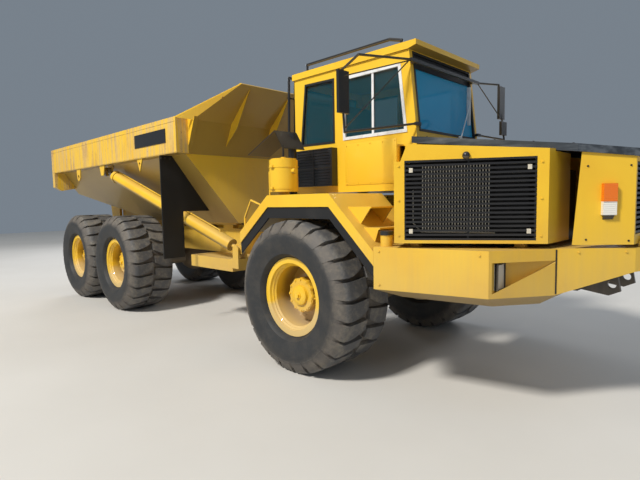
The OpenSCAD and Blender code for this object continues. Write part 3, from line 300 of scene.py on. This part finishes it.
# Cab inside: the seat and the steering column share one dark moulded plastic, a little
# paler in soft patches and finely grained.
plastic, plastic_shader, plastic_place = finish_named("moulded_plastic")
set_finish(plastic_shader, plastic_place,
           plastic_place.noise(5.0, 4).blend((0.03, 0.03, 0.032, 1), (0.07, 0.065, 0.06, 1)), 0.6,
           plastic_place.noise(300.0, 2), 0.15)
coat_nodes(plastic, "seat", "steering_column")

# Tyres: wide earthmover tyres, plain dusty sidewalls with a moulded ring, and thick
# staggered lugs that wrap over the shoulders, worn grey, with clay dried in the grooves.
# Each stands for the plain solid of its wheel. Lengths are in metres.
CROWN_R, GROOVE_R = 0.7645, 0.722
SIDEWALL = [(0.318, 0.244), (0.332, 0.259), (0.397, 0.2645), (0.412, 0.308), (0.43, 0.330), (0.436, 0.337),
            (0.448, 0.338), (0.50, 0.360), (0.58, 0.370), (0.63, 0.368), (0.668, 0.352), (0.70, 0.325),
            (0.716, 0.28), (GROOVE_R, 0.18), (GROOVE_R, 0.0)]
TYRE_STEPS = 104
LUGS, LUG_SHARE, LUG_CUTS = 24, 0.80, 8
LUG_HEIGHT, LUG_SWEEP, LUG_BEND = 0.052, 0.075, 2.6
LUG_INNER, LUG_NARROW, LUG_WIDENING, ROOT_WIDER = 0.04, 0.62, 2.4, 1.12
CROWN_SHARE, CROWN_HALF = 0.70, 0.295
SHOULDER_REACH, SHOULDER_TUCK = 0.074, 0.034
DROP_FROM, SHOULDER_DROP = 0.64, 0.125


def mesh_piece(name, bm, material, body):
    bmesh.ops.recalc_face_normals(bm, faces=bm.faces[:])
    data = bpy.data.meshes.new(name)
    bm.to_mesh(data)
    bm.free()
    data.materials.append(material)
    item = bpy.data.objects.new(name, data)
    bpy.context.scene.collection.objects.link(item)
    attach(item, body)
    return item


def shade_smooth(item, degrees=35):
    item.data.shade_smooth()
    item.data.set_sharp_from_angle(angle=math.radians(degrees))


def spun(bm, outline, steps):
    """Outline of (radius, y) pairs turned about the Y axis."""
    points = [bm.verts.new((radius, y, 0)) for radius, y in outline]
    edges = [bm.edges.new(pair) for pair in zip(points, points[1:])]
    bmesh.ops.spin(bm, geom=points + edges, cent=(0, 0, 0), axis=(0, 1, 0), angle=math.tau, steps=steps,
                   use_merge=True)


def tread_place(across, around, root, side):
    """A lug's corner: across is 0 at the tyre's middle and 1 down on the shoulder."""
    past_crown = max(across - CROWN_SHARE, 0) / (1 - CROWN_SHARE)
    y = min(across / CROWN_SHARE, 1.0) * CROWN_HALF + past_crown * SHOULDER_REACH
    drop = max(across - DROP_FROM, 0) / (1 - DROP_FROM)
    radius = CROWN_R - SHOULDER_DROP * drop ** 1.5
    if root:
        radius -= LUG_HEIGHT
    if root and across > CROWN_SHARE:
        y -= SHOULDER_TUCK
    angle = around + LUG_SWEEP * math.sin(across * LUG_BEND)
    return Vector((radius * math.sin(angle), side * y, radius * math.cos(angle)))


def add_lug(bm, start, side):
    """Block from near the middle to the shoulder, narrow at first and wider at its root."""
    width = math.tau / LUGS * LUG_SHARE
    block = bmesh.ops.create_cube(bm, size=1.0)["verts"]
    lengthwise = list({e for v in block for e in v.link_edges
                       if abs(e.verts[0].co.x - e.verts[1].co.x) > 0.5})
    bmesh.ops.subdivide_edges(bm, edges=lengthwise, cuts=LUG_CUTS)
    corners = {v for v in bm.verts if not v.tag}
    for v in corners:
        across = LUG_INNER + (1 - LUG_INNER) * (v.co.x + 0.5)
        narrow = LUG_NARROW + (1 - LUG_NARROW) * min(1.0, across * LUG_WIDENING)
        if v.co.z < 0:
            narrow *= ROOT_WIDER
        v.co = tread_place(across, start + v.co.y * width * narrow, v.co.z < 0, side)
        v.tag = True


def tyre_finish(row, centre):
    """Rubber coloured by how far it lies from its own wheel's centre."""
    material, shader, place = finish_named("tyre_rubber_" + row)
    wheel = place.make("VectorMath", {"operation": "SUBTRACT"}, {0: place, 1: (centre.x, 0, centre.z)})
    spoke = wheel.make("VectorMath", {"operation": "LENGTH"}, {0: wheel.stretched((1, 0, 1))}, "Value")
    clay, scuffs = place.noise(6.0, 6, 0.7), place.noise(34.0, 5, 0.65)
    film = (clay * 0.7 + scuffs * 0.3).between(0.42, 0.66)
    side = (film * 0.55).blend((0.022, 0.024, 0.027, 1), (0.068, 0.062, 0.055, 1))
    tread = film.blend((0.090, 0.090, 0.094, 1), (0.215, 0.195, 0.165, 1))
    groove = spoke.between(0.755, 0.728)
    outer = (spoke + clay * 0.04).between(0.62, 0.70)
    set_finish(shader, place, outer.blend(side, (groove * 0.45).blend(tread, (0.115, 0.092, 0.070, 1))),
               film * 0.15 + 0.62, scuffs + clay * 0.8 + (spoke * 90.0).math("SINE") * 0.1, 0.35, 0.006)
    return material


WHEELS = {}
for corner in ("fl", "fr", "ml", "mr", "rl", "rr"):
    low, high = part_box("tyre_" + corner)
    WHEELS[corner] = (low + high) / 2

TYRE_FINISH = {row: tyre_finish(row, WHEELS[row + "l"]) for row in "fmr"}
for corner, centre in WHEELS.items():
    bm = bmesh.new()
    outline = [(r, -y) for r, y in SIDEWALL] + [(r, y) for r, y in reversed(SIDEWALL[:-1])]
    spun(bm, outline, TYRE_STEPS)
    for v in bm.verts:
        v.tag = True
    for i in range(LUGS):
        for side in (-1, 1):
            add_lug(bm, math.tau * (i + (0.5 if side > 0 else 0)) / LUGS, side)
    bmesh.ops.translate(bm, verts=bm.verts[:], vec=centre)
    tyre = mesh_piece("lugged_tyre_" + corner, bm, TYRE_FINISH[corner[0]], "wheel_" + corner)
    shade_smooth(tyre, 40)
    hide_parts("tyre_" + corner)

# Wheels: glossy rims, darker and browner inside the dish as painted shade, with pale dust lying
# in its lower half. Each hub has a scalloped planetary cover with its bolts and plug, a ring of
# wheel studs behind it, and a valve stem beside the lock ring.
# The dark brown of the dish is painted shade.
DISH_SHADE, DISH_DUST = (0.26, 0.14, 0.035, 1), (0.55, 0.44, 0.29, 1)
HUB_FACE, HUB_R, HUB_STEPS = 0.152, 0.172, 96
HUB_LEVELS = ((1.0, -0.055), (1.0, -0.008), (0.955, 0.006), (0.60, 0.006), (0.56, 0.030), (0.44, 0.040),
              (0.0, 0.040))
LOBES_FROM, LOBE_DEPTH = 0.9, 0.055
HUB_BOLTS, HUB_BOLT_RING, HUB_BOLT_R, PLUG_R = 12, 0.158, 0.0125, 0.028
STUDS, STUD_RING, STUD_R, STUD_OUT = 10, 0.236, 0.016, 0.030
POLE_GAP = 1e-5


def rod(bm, start, end, radius, sides=8, far_radius=None):
    start, end = Vector(start), Vector(end)
    turn = (end - start).to_track_quat("Z", "Y").to_matrix().to_4x4()
    bmesh.ops.create_cone(bm, cap_ends=True, segments=sides, radius1=radius,
                          radius2=radius if far_radius is None else far_radius, depth=(end - start).length,
                          matrix=Matrix.Translation((start + end) / 2) @ turn)


def bolt(bm, seat, out, radius):
    """Hexagon head on its washer, standing out from its seat."""
    seat, out = Vector(seat), Vector(out).normalized()
    rod(bm, seat, seat + out * radius * 0.25, radius * 1.35, 10)
    rod(bm, seat + out * radius * 0.25, seat + out * radius * 0.95, radius, 6, radius * 0.9)


def on_wheel(radius, share, y):
    """Place at a share of a full turn round the wheel's axis, from the top."""
    return Vector((radius * math.sin(math.tau * share), y, radius * math.cos(math.tau * share)))


rim_yellow, rim_shader, rim_place = finish_named("rim_paint", coat=0.3)
rim_dust = (rim_place.noise(4.0, 6, 0.65) * 0.5 - rim_place.along(2)).between(-0.50, -0.30)
rim_chips = rim_place.noise(38.0, 6, 0.7).between(0.66, 0.70)
# Painted shade: the rim turns darker and browner deeper inside the dish.
dish = rim_place.along(1).math("ABSOLUTE").between(1.35, 1.20)
rim_painted = (rim_dust * 0.6).blend((dish * 0.75).blend(YELLOW, DISH_SHADE), DISH_DUST)
set_finish(rim_shader, rim_place, rim_chips.blend(rim_painted, RUST), rim_dust * 0.35 + 0.3,
           rim_place.noise(150.0, 3) + rim_chips, 0.1)
coat_nodes(rim_yellow, "rim_fl", "rim_fr", "rim_ml", "rim_mr", "rim_rl", "rim_rr")

for corner, centre in WHEELS.items():
    out = 1 if corner.endswith("l") else -1
    bm = bmesh.new()
    spun(bm, [(share * HUB_R, out * (HUB_FACE + y)) for share, y in HUB_LEVELS], HUB_STEPS)
    bmesh.ops.remove_doubles(bm, verts=bm.verts[:], dist=POLE_GAP)
    for v in bm.verts:
        if math.hypot(v.co.x, v.co.z) > LOBES_FROM * HUB_R:
            lobe = 1 + LOBE_DEPTH * math.cos(HUB_BOLTS * math.atan2(v.co.x, v.co.z))
            v.co = (v.co.x * lobe, v.co.y, v.co.z * lobe)
    for i in range(HUB_BOLTS):
        seat = on_wheel(HUB_BOLT_RING, i / HUB_BOLTS, out * (HUB_FACE + 0.002))
        bolt(bm, seat, (0, out, 0), HUB_BOLT_R)
    bolt(bm, (0, out * (HUB_FACE + 0.039), 0), (0, out, 0), PLUG_R)
    for i in range(STUDS):
        share = (i + 0.5) / STUDS
        rod(bm, on_wheel(STUD_RING, share, 0), on_wheel(STUD_RING, share, out * STUD_OUT), STUD_R, 6)
    rod(bm, (0.292, out * 0.20, 0.02), (0.300, out * 0.262, 0.02), 0.007, 8)
    bmesh.ops.translate(bm, verts=bm.verts[:], vec=centre)
    shade_smooth(mesh_piece("hub_cover_" + corner, bm, rim_yellow, "wheel_" + corner), 30)

# Window seals: black rubber round the fixed panes and the door's pane, and a dark sun band
# across the windscreen's top. Outlines are (along, height) in metres. From here on lengths
# along X count from the front axle, and the right side has Y below zero.
AXLE = Vector((2.205, 0, 0))
CAB_HALF, CAB_REAR = 0.620, -0.760
SCREEN_FOOT_X, SCREEN_FOOT_Z, SCREEN_LEAN = 0.930, 2.350, 0.085 / 0.780
QUARTER = [(-0.655, 2.360), (-0.130, 2.352), (-0.130, 3.034), (-0.573, 3.045)]
SCREEN = [(-0.560, 2.370), (0.560, 2.370), (0.560, 3.110), (-0.560, 3.110)]
REAR = [(-0.480, 2.350), (0.480, 2.350), (0.480, 3.045), (-0.480, 3.045)]
DOOR = [(-0.010, 2.350), (0.610, 2.350), (0.610, 2.965), (-0.010, 2.965)]
SUN_BAND = [(-0.572, 2.972), (0.572, 2.972), (0.572, 3.122), (-0.572, 3.122)]
BAND_EDGE = [(-0.575, 2.962), (0.575, 2.962), (0.575, 2.974), (-0.575, 2.974)]
SEAL_IN, SEAL_OUT, SEAL_BACK, SEAL_FRONT = 0.014, 0.010, -0.018, 0.005


def from_axle(x, y, z):
    return AXLE + Vector((x, y, z))


def on_right(u, v, depth):
    return from_axle(u, -CAB_HALF - depth, v)


def on_left(u, v, depth):
    return from_axle(u, CAB_HALF + depth, v)


def on_screen(u, v, depth):
    return from_axle(SCREEN_FOOT_X - SCREEN_LEAN * (v - SCREEN_FOOT_Z) + depth, u, v)


def on_rear(u, v, depth):
    return from_axle(CAB_REAR - depth, u, v)


def grown(outline, by):
    """Convex outline moved outwards; its points run counter clockwise."""
    result = []
    for i, corner in enumerate(outline):
        before = (Vector(corner) - Vector(outline[i - 1])).normalized()
        after = (Vector(outline[(i + 1) % len(outline)]) - Vector(corner)).normalized()
        first, second = Vector((before.y, -before.x)), Vector((after.y, -after.x))
        result.append(Vector(corner) + (first + second) * (by / (1 + first.dot(second))))
    return result


def thicken(bm, faces, high, put):
    """Raise a copy of flat faces, walls between, and put() every (u, v, depth) in its place."""
    edges = list({e for face in faces for e in face.edges})
    made = bmesh.ops.extrude_face_region(bm, geom=faces + edges, use_keep_orig=True)["geom"]
    raised = [item for item in made if isinstance(item, bmesh.types.BMVert)]
    for v in raised:
        v.co.z = high
    for v in raised + list({v for face in faces for v in face.verts}):
        v.co = put(*v.co)


def ring(bm, outline, inside, outside, low, high, put):
    """Frame along a flat outline, from depth low to depth high."""
    edges = []
    for by in (-inside, outside):
        loop = [bm.verts.new((p.x, p.y, low)) for p in grown(outline, by)]
        edges += [bm.edges.new((loop[i - 1], loop[i])) for i in range(len(loop))]
    thicken(bm, bmesh.ops.bridge_loops(bm, edges=edges)["faces"], high, put)


def plate(bm, outline, low, high, put):
    """Flat plate that fills an outline, from depth low to depth high."""
    thicken(bm, [bm.faces.new([bm.verts.new((u, v, low)) for u, v in outline])], high, put)


bm = bmesh.new()
for outline, put in ((QUARTER, on_right), (QUARTER, on_left), (SCREEN, on_screen), (REAR, on_rear)):
    ring(bm, outline, SEAL_IN, SEAL_OUT, SEAL_BACK, SEAL_FRONT, put)
mesh_piece("window_seals", bm, sheet_rubber, "front_unit")
bm = bmesh.new()
plate(bm, SUN_BAND, -0.017, -0.012, on_screen)
plate(bm, BAND_EDGE, -0.017, -0.004, on_screen)
mesh_piece("sun_band", bm, sheet_rubber, "front_unit")
bm = bmesh.new()
ring(bm, DOOR, SEAL_IN, SEAL_OUT, SEAL_BACK, SEAL_FRONT, on_left)
mesh_piece("door_window_seal", bm, sheet_rubber, "cab_door")

# Sliding window on the right: a pale aluminium frame, dirty in patches, and the upright
# bar where its two halves meet.
SLIDER = [(0.010, 2.364), (0.822, 2.364), (0.745, 3.020), (0.010, 3.020)]
SLIDER_IN, SLIDER_OUT, SLIDER_BACK, SLIDER_FRONT = 0.026, 0.006, -0.012, 0.008


def slab(bm, low, high, bevel=0.0):
    """Block between two corners, its edges bevelled."""
    low, high = Vector(low), Vector(high)
    verts = bmesh.ops.create_cube(bm, size=1.0)["verts"]
    for v in verts:
        v.co = Vector([low[i] + (v.co[i] + 0.5) * (high[i] - low[i]) for i in range(3)])
    if bevel:
        edges = list({e for v in verts for e in v.link_edges})
        bmesh.ops.bevel(bm, geom=edges, offset=bevel, segments=2, profile=0.5, affect="EDGES", material=-1)


aluminium, aluminium_shader, aluminium_place = finish_named("pale_frame")
frame_dirt = aluminium_place.noise(9.0, 5, 0.6).between(0.45, 0.75)
set_finish(aluminium_shader, aluminium_place, (frame_dirt * 0.4).blend((0.74, 0.76, 0.78, 1), DUST),
           frame_dirt * 0.2 + 0.35, aluminium_place.noise(200.0, 2), 0.08)
bm = bmesh.new()
ring(bm, SLIDER, SLIDER_IN, SLIDER_OUT, SLIDER_BACK, SLIDER_FRONT, on_right)
slab(bm, on_right(0.392, 2.385, 0.000), on_right(0.420, 3.0, -0.010), 0.002)
mesh_piece("slider_frame", bm, aluminium, "front_unit")

# Wiper on the windscreen: a spindle at the sill, a pale arm that thins towards its end,
# and a thin upright blade.
SPINDLE_U, SPINDLE_V, SPINDLE_R = 0.190, 2.356, 0.016
ARM_END_U, ARM_END_V, ARM_R, ARM_TIP_R = 0.470, 2.740, 0.007, 0.004
bm = bmesh.new()
rod(bm, on_screen(SPINDLE_U, SPINDLE_V, 0.0), on_screen(SPINDLE_U, SPINDLE_V, 0.035), SPINDLE_R, 12)
rod(bm, on_screen(SPINDLE_U, SPINDLE_V, 0.030), on_screen(ARM_END_U, ARM_END_V, 0.022), ARM_R, 6,
    ARM_TIP_R)
slab(bm, on_screen(0.455, 2.52, 0.006), on_screen(0.475, 2.93, 0.018), 0.002)
mesh_piece("windscreen_wiper", bm, aluminium, "front_unit")

# Access panel under the sliding window, held by two rows of five screws, and the crossed
# bars on the louvred box behind it, with a screw at each corner.
PANEL_SCREWS_U, PANEL_SCREWS_V, PANEL_SCREW_R = (0.05, 0.21, 0.37, 0.53, 0.68), (1.890, 2.294), 0.007
LOUVRE_SCREWS_U, LOUVRE_SCREWS_V, LOUVRE_SCREW_R = (-0.645, -0.105), (1.890, 2.276), 0.006
RIGHTWARDS = (0, -1, 0)
bm = bmesh.new()
slab(bm, on_right(0.03, 1.872, 0.005), on_right(0.70, 2.312, -0.001), 0.003)
for u in PANEL_SCREWS_U:
    for v in PANEL_SCREWS_V:
        bolt(bm, on_right(u, v, 0.004), RIGHTWARDS, PANEL_SCREW_R)
shade_smooth(mesh_piece("access_panel", bm, yellow, "front_unit"))
bm = bmesh.new()
slab(bm, on_right(-0.384, 1.880, 0.096), on_right(-0.366, 2.286, 0.086), 0.002)
slab(bm, on_right(-0.655, 2.074, 0.0945), on_right(-0.095, 2.092, 0.086), 0.002)
for u in LOUVRE_SCREWS_U:
    for v in LOUVRE_SCREWS_V:
        bolt(bm, on_right(u, v, 0.090), RIGHTWARDS, LOUVRE_SCREW_R)
mesh_piece("louvre_bars", bm, black_paint, "front_unit")

# Door handle on the left, a grip before a small plate, and the wire mesh that guards the
# rear window: upright and level wires on one pitch.
HANDLE_V, HANDLE_R, HANDLE_OUT = 2.262, 0.008, 0.030
GUARD_X, GUARD_LOW, GUARD_HIGH, GUARD_HALF = -0.868, 2.42, 3.17, 0.53
GUARD_PITCH, GUARD_WIRE_R, UPRIGHT_FROM = 0.05, 0.0025, -0.50
UPRIGHTS, LEVELS = 21, 16
bm = bmesh.new()
slab(bm, on_left(0.560, 2.225, -0.001), on_left(0.655, 2.300, 0.012), 0.004)
rod(bm, on_left(0.575, HANDLE_V, HANDLE_OUT), on_left(0.645, HANDLE_V, HANDLE_OUT), HANDLE_R, 10)
rod(bm, on_left(0.645, HANDLE_V, HANDLE_OUT), on_left(0.645, HANDLE_V, 0.005), HANDLE_R, 10)
mesh_piece("door_handle", bm, black_paint, "cab_door")
bm = bmesh.new()
for i in range(UPRIGHTS):
    y = UPRIGHT_FROM + i * GUARD_PITCH
    rod(bm, from_axle(GUARD_X, y, GUARD_LOW), from_axle(GUARD_X, y, GUARD_HIGH), GUARD_WIRE_R, 4)
for i in range(LEVELS):
    z = GUARD_LOW + i * GUARD_PITCH
    rod(bm, from_axle(GUARD_X, -GUARD_HALF, z), from_axle(GUARD_X, GUARD_HALF, z), GUARD_WIRE_R, 4)
mesh_piece("rear_guard_mesh", bm, black_paint, "front_unit")

# Mirrors: silvered glass on the side that faces back, given by its place, half width and
# half height, and the thin braces of both arms.
MIRROR_FACES = ((0.545, -1.230, 2.690, 0.062, 0.182), (0.990, 1.095, 2.830, 0.062, 0.182),
                (1.016, 1.099, 2.530, 0.062, 0.072))
GLASS_BACK, GLASS_HALF, BRACE_R = 0.0155, 0.002, 0.006
mirror_glass, mirror_shader, mirror_place = finish_named("mirror_glass", metallic=1.0)
set_finish(mirror_shader, mirror_place,
           mirror_place.noise(5.0, 4).blend((0.72, 0.75, 0.78, 1), (0.5, 0.5, 0.5, 1)),
           mirror_place.noise(8.0, 4) * 0.15 + 0.02)
bm = bmesh.new()
for x, y, z, wide, tall in MIRROR_FACES:
    back = from_axle(x - GLASS_BACK, y, z)
    reach = Vector((GLASS_HALF, wide, tall))
    slab(bm, back - reach, back + reach, 0.001)
mesh_piece("mirror_faces", bm, mirror_glass, "front_unit")
bm = bmesh.new()
for z in (2.83, 2.36):
    rod(bm, from_axle(0.868, -0.655, 3.010), from_axle(0.555, -1.228, z), BRACE_R, 8)
rod(bm, from_axle(0.905, 0.655, 3.010), from_axle(1.010, 1.092, 2.62), BRACE_R, 8)
shade_smooth(mesh_piece("mirror_braces", bm, black_paint, "front_unit"))

# Side grilles: behind the slats of each wing two black plates, a curtain of pale wires,
# four pads and thin pipes; a small dark lamp on the top edge, and bolts at both ends.
# Places in a wing are (along it, outwards, height).
WING_X, WING_Y, WING_TURN = 1.7125, 1.110, math.radians(-30.747)
GRILLE_HALF, GRILLE_LOW, GRILLE_HIGH = 0.486, 1.385, 2.012
WIRES, WIRE_FROM, WIRE_PITCH, WIRE_DEPTH, WIRE_R = 23, -0.345, 0.0225, -0.019, 0.0048
PADS = ((-0.435, 1.455), (0.435, 1.455), (-0.435, 1.935), (0.435, 1.935))
PIPES = (((-0.42, 1.52), (-0.36, 1.45)), ((-0.42, 1.52), (-0.42, 1.78)), ((-0.36, 1.45), (0.20, 1.44)))
PIPE_DEPTH, PIPE_R = -0.050, 0.006
LAMP_AT, LAMP_R = (-0.02, 0.004, 2.035), 0.030
HOUSING_BOLTS_U, HOUSING_BOLTS_V, HOUSING_BOLT_R = (-0.53, 0.52), (1.42, 1.70, 1.97), 0.008
SIDES = ((1, "left"), (-1, "right"))


def wing_piece(name, bm, wing, material):
    bmesh.ops.transform(bm, matrix=wing, verts=bm.verts[:])
    return mesh_piece(name, bm, material, "front_unit")


core, core_shader, core_place = finish_named("cooler_black")
set_finish(core_shader, core_place,
           core_place.noise(14.0, 5).blend((0.006, 0.006, 0.007, 1), (0.022, 0.020, 0.018, 1)),
           0.8, core_place.noise(120.0, 3), 0.2)
wire_grey, wire_shader, wire_place = finish_named("cooler_wires")
set_finish(wire_shader, wire_place,
           wire_place.noise(30.0, 5).blend((0.86, 0.80, 0.66, 1), (0.42, 0.37, 0.29, 1)),
           0.6, wire_place.noise(200.0, 2), 0.1)
for side, tag in SIDES:
    wing = (Matrix.Translation(from_axle(WING_X, side * WING_Y, 0))
            @ Matrix.Rotation(side * WING_TURN, 4, "Z") @ Matrix.Diagonal((1, side, 1, 1)))
    bm = bmesh.new()
    slab(bm, (-GRILLE_HALF, -0.095, GRILLE_LOW - 0.005), (GRILLE_HALF, -0.090, GRILLE_HIGH + 0.003))
    slab(bm, (0.20, -0.050, 1.42), (0.44, -0.045, 1.98))
    wing_piece("cooler_plate_" + tag, bm, wing, core)
    bm = bmesh.new()
    for i in range(WIRES):
        u = WIRE_FROM + i * WIRE_PITCH
        rod(bm, (u, WIRE_DEPTH, 1.45), (u, WIRE_DEPTH, 1.965), WIRE_R, 5)
    for u, v in PADS:
        slab(bm, (u - 0.015, -0.014, v - 0.018), (u + 0.015, 0.003, v + 0.018), 0.003)
    for start, end in PIPES:
        rod(bm, (start[0], PIPE_DEPTH, start[1]), (end[0], PIPE_DEPTH, end[1]), PIPE_R, 6)
    wing_piece("cooler_wires_" + tag, bm, wing, wire_grey)
    bm = bmesh.new()
    bmesh.ops.create_uvsphere(bm, u_segments=16, v_segments=8, radius=LAMP_R,
                              matrix=Matrix.Translation(LAMP_AT))
    slab(bm, (-0.035, -0.004, 2.018), (-0.005, 0.012, 2.060), 0.003)
    shade_smooth(wing_piece("grille_lamp_" + tag, bm, wing, black_paint))
    bm = bmesh.new()
    for u in HOUSING_BOLTS_U:
        for v in HOUSING_BOLTS_V:
            bolt(bm, (u, 0.0, v), (0, 1, 0), HOUSING_BOLT_R)
    shade_smooth(wing_piece("housing_bolts_" + tag, bm, wing, yellow))

# Nose cooler: a black plate behind the nose grille with five upright tubes before it.
# It opens with the hood.
TUBE_X, TUBE_R, TUBES_Y = 2.612, 0.012, (-0.30, -0.15, 0.0, 0.15, 0.30)
bm = bmesh.new()
slab(bm, from_axle(2.585, -0.375, 1.405), from_axle(2.590, 0.375, 1.975))
for y in TUBES_Y:
    rod(bm, from_axle(TUBE_X, y, 1.41), from_axle(TUBE_X, y, 1.97), TUBE_R, 8)
mesh_piece("nose_cooler", bm, core, "hood")

# Front bumper: the headlamps' black frames, the dark seam at each end of the nose
# section, and bolts on its folded plates.
LAMP_FRAME = [(1.008, 1.023), (1.137, 1.023), (1.137, 1.217), (1.008, 1.217)]
LAMP_X = 1.955
SEAM_Y, SEAM_HALF = 0.742, 0.006
FLANK_FROM_X, FLANK_FROM_Y, FLANK_RUN_X, FLANK_RUN_Y = 1.018, 1.406, 0.902, -0.208
FLANK_BOLTS, FLANK_BOLT_R = ((0.05, 1.285), (0.05, 1.005), (0.86, 1.285)), 0.009
NOSE_FROM_X, NOSE_SLOPE, NOSE_BOLT_Z, NOSE_BOLT_R = 2.236, 0.878, 1.29, 0.008


def on_left_lamp(u, v, depth):
    return from_axle(LAMP_X + depth, u, v)


def on_right_lamp(u, v, depth):
    return from_axle(LAMP_X + depth, -u, v)


bm = bmesh.new()
for put in (on_left_lamp, on_right_lamp):
    ring(bm, LAMP_FRAME, 0.005, 0.003, -0.016, 0.010, put)
mesh_piece("headlamp_frames", bm, black_paint, "front_unit")
bm = bmesh.new()
for side, _ in SIDES:
    slab(bm, from_axle(2.2335, side * SEAM_Y - SEAM_HALF, 0.975),
         from_axle(2.2415, side * SEAM_Y + SEAM_HALF, 1.312))
mesh_piece("bumper_seams", bm, core, "front_unit")
bm = bmesh.new()
for side, _ in SIDES:
    along = Vector((FLANK_RUN_X, side * FLANK_RUN_Y, 0)).normalized()
    out = Vector((-along.y, along.x, 0)) * side
    for t, z in FLANK_BOLTS:
        bolt(bm, from_axle(FLANK_FROM_X, side * FLANK_FROM_Y, z) + along * t, out, FLANK_BOLT_R)
    for x in (2.36, 2.62):
        y = SEAM_Y - (x - NOSE_FROM_X) * NOSE_SLOPE + 0.0005
        bolt(bm, from_axle(x, side * y, NOSE_BOLT_Z), (0.66, side * 0.75, 0), NOSE_BOLT_R)
shade_smooth(mesh_piece("bumper_bolts", bm, yellow, "front_unit"))

# Hood: four screws on each slanted panel of the nose, and a row of screws along each
# edge of the cover, whose top falls and narrows towards the nose.
NOSE_SCREWS = ((2.39831, 0.60910, 1.385), (2.39831, 0.60910, 1.93), (2.63248, 0.41894, 1.375),
               (2.63248, 0.41894, 1.93))
NOSE_SCREW_R, HOOD_SCREW_R = 0.006, 0.009
HOOD_SCREWS_X = (1.12, 1.42, 1.72, 2.02, 2.30)
HOOD_BACK_X, HOOD_BACK_Z, HOOD_BACK_HALF = 1.0, 2.281, 0.810
HOOD_FALL, HOOD_NARROWING, SCREWS_IN = 0.233 / 1.7, 0.138 / 1.345, 0.05
bm = bmesh.new()
for side, _ in SIDES:
    for x, y, z in NOSE_SCREWS:
        bolt(bm, from_axle(x, side * y, z), (0.630, side * 0.777, 0), NOSE_SCREW_R)
shade_smooth(mesh_piece("nose_screws", bm, black_paint, "hood"))
bm = bmesh.new()
for side, _ in SIDES:
    for x in HOOD_SCREWS_X:
        y = HOOD_BACK_HALF - (x - HOOD_BACK_X) * HOOD_NARROWING - SCREWS_IN
        top = HOOD_BACK_Z - HOOD_FALL * (x - HOOD_BACK_X)
        bolt(bm, from_axle(x, side * y, top - 0.001), (0.13, 0, 1), HOOD_SCREW_R)
shade_smooth(mesh_piece("hood_screws", bm, black_paint, "hood"))

# Hoist cylinders: a steel pipe along the top of each barrel, turned down to it at both
# ends and held by three clamps.
FOOT_X, FOOT_Y, FOOT_Z = -1.620, 0.865, 1.095
EYE_X, EYE_Y, EYE_Z = -4.600, 1.337, 2.255
PIPE_LIFT, PIPE_FROM, PIPE_SHORT = 0.101, 0.42, 0.14
CLAMP_SHARES, CLAMP_HALF, CLAMP_R = (0.25, 0.5, 0.75), 0.015, 0.016
for side, tag in SIDES:
    foot = from_axle(FOOT_X, side * FOOT_Y, FOOT_Z)
    eye = from_axle(EYE_X, side * EYE_Y, EYE_Z)
    along = (eye - foot).normalized()
    up = (Vector((0, 0, 1)) - along * along.z).normalized()
    barrel_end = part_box("hoist_barrel_" + tag)[0].x
    reach = (foot.x - barrel_end) / -along.x
    lift = up * PIPE_LIFT
    bm = bmesh.new()
    rod(bm, foot + along * PIPE_FROM + lift, foot + along * (reach - PIPE_SHORT) + lift, 0.010, 8)
    for t in (PIPE_FROM, reach - PIPE_SHORT):
        rod(bm, foot + along * t + lift, foot + along * t + up * 0.075, 0.012, 8)
    for share in CLAMP_SHARES:
        middle = foot + along * (PIPE_FROM + (reach - PIPE_FROM - PIPE_SHORT) * share)
        rod(bm, middle - along * CLAMP_HALF + lift, middle + along * CLAMP_HALF + lift, CLAMP_R, 8)
        rod(bm, middle + lift, middle + up * 0.08, 0.008, 6)
    shade_smooth(mesh_piece("hoist_pipe_" + tag, bm, yellow, "hoist_barrel_" + tag))

# Load body: four bolts on the front of each flap near its top outer corner, and weld
# beads along both edges of the side rails.
FLAP_BOLTS_Y, FLAP_BOLT_R = (1.24, 1.31, 1.38, 1.43), 0.012
WELD_FROM_X, WELD_TO_X, WELD_Y, WELD_R = -7.10, -2.105, 1.449, 0.006
bm = bmesh.new()
for side, _ in SIDES:
    for y in FLAP_BOLTS_Y:
        bolt(bm, from_axle(-2.550, side * y, 2.325), (1, 0, 0), FLAP_BOLT_R)
shade_smooth(mesh_piece("flap_bolts", bm, chassis_paint, "dump_body"))
bm = bmesh.new()
for side, _ in SIDES:
    for z in (2.372, 2.758):
        rod(bm, from_axle(WELD_FROM_X, side * WELD_Y, z), from_axle(WELD_TO_X, side * WELD_Y, z), WELD_R, 6)
mesh_piece("rail_welds", bm, rail_yellow, "dump_body")

# Air cleaner: two clamps with their screws on its right side, a port towards the front
# and a small cap on its top.
CAN_X, CAN_Y = -0.310, -1.215
CLAMP_HEIGHTS, CLAMP_SCREW_Y, CLAMP_SCREW_R = (1.848, 2.068), -0.168, 0.005
bm = bmesh.new()
can = from_axle(CAN_X, CAN_Y, 0)
for z in CLAMP_HEIGHTS:
    slab(bm, can + Vector((-0.018, -0.176, z - 0.012)), can + Vector((0.018, -0.150, z + 0.012)), 0.003)
    rod(bm, can + Vector((-0.028, CLAMP_SCREW_Y, z)), can + Vector((0.028, CLAMP_SCREW_Y, z)),
        CLAMP_SCREW_R, 6)
rod(bm, can + Vector((0.130, 0.0, 2.02)), can + Vector((0.185, 0.0, 2.02)), 0.028, 14)
rod(bm, can + Vector((0, 0, 2.150)), can + Vector((0, 0, 2.172)), 0.030, 14)
shade_smooth(mesh_piece("cleaner_fittings", bm, yellow, "front_unit"))

# Floor: a wide sheet of pale concrete in two close greys, part of the studio and not of
# the truck.
FLOOR_SIZE = 60
bpy.ops.mesh.primitive_plane_add(size=FLOOR_SIZE)
floor = bpy.context.object
floor.name = "floor"
concrete, concrete_shader, concrete_place = finish_named("concrete")
set_finish(concrete_shader, concrete_place,
           concrete_place.noise(0.6, 6).blend((0.60, 0.58, 0.55, 1), (0.68, 0.665, 0.64, 1)), 0.85)
floor.data.materials.append(concrete)
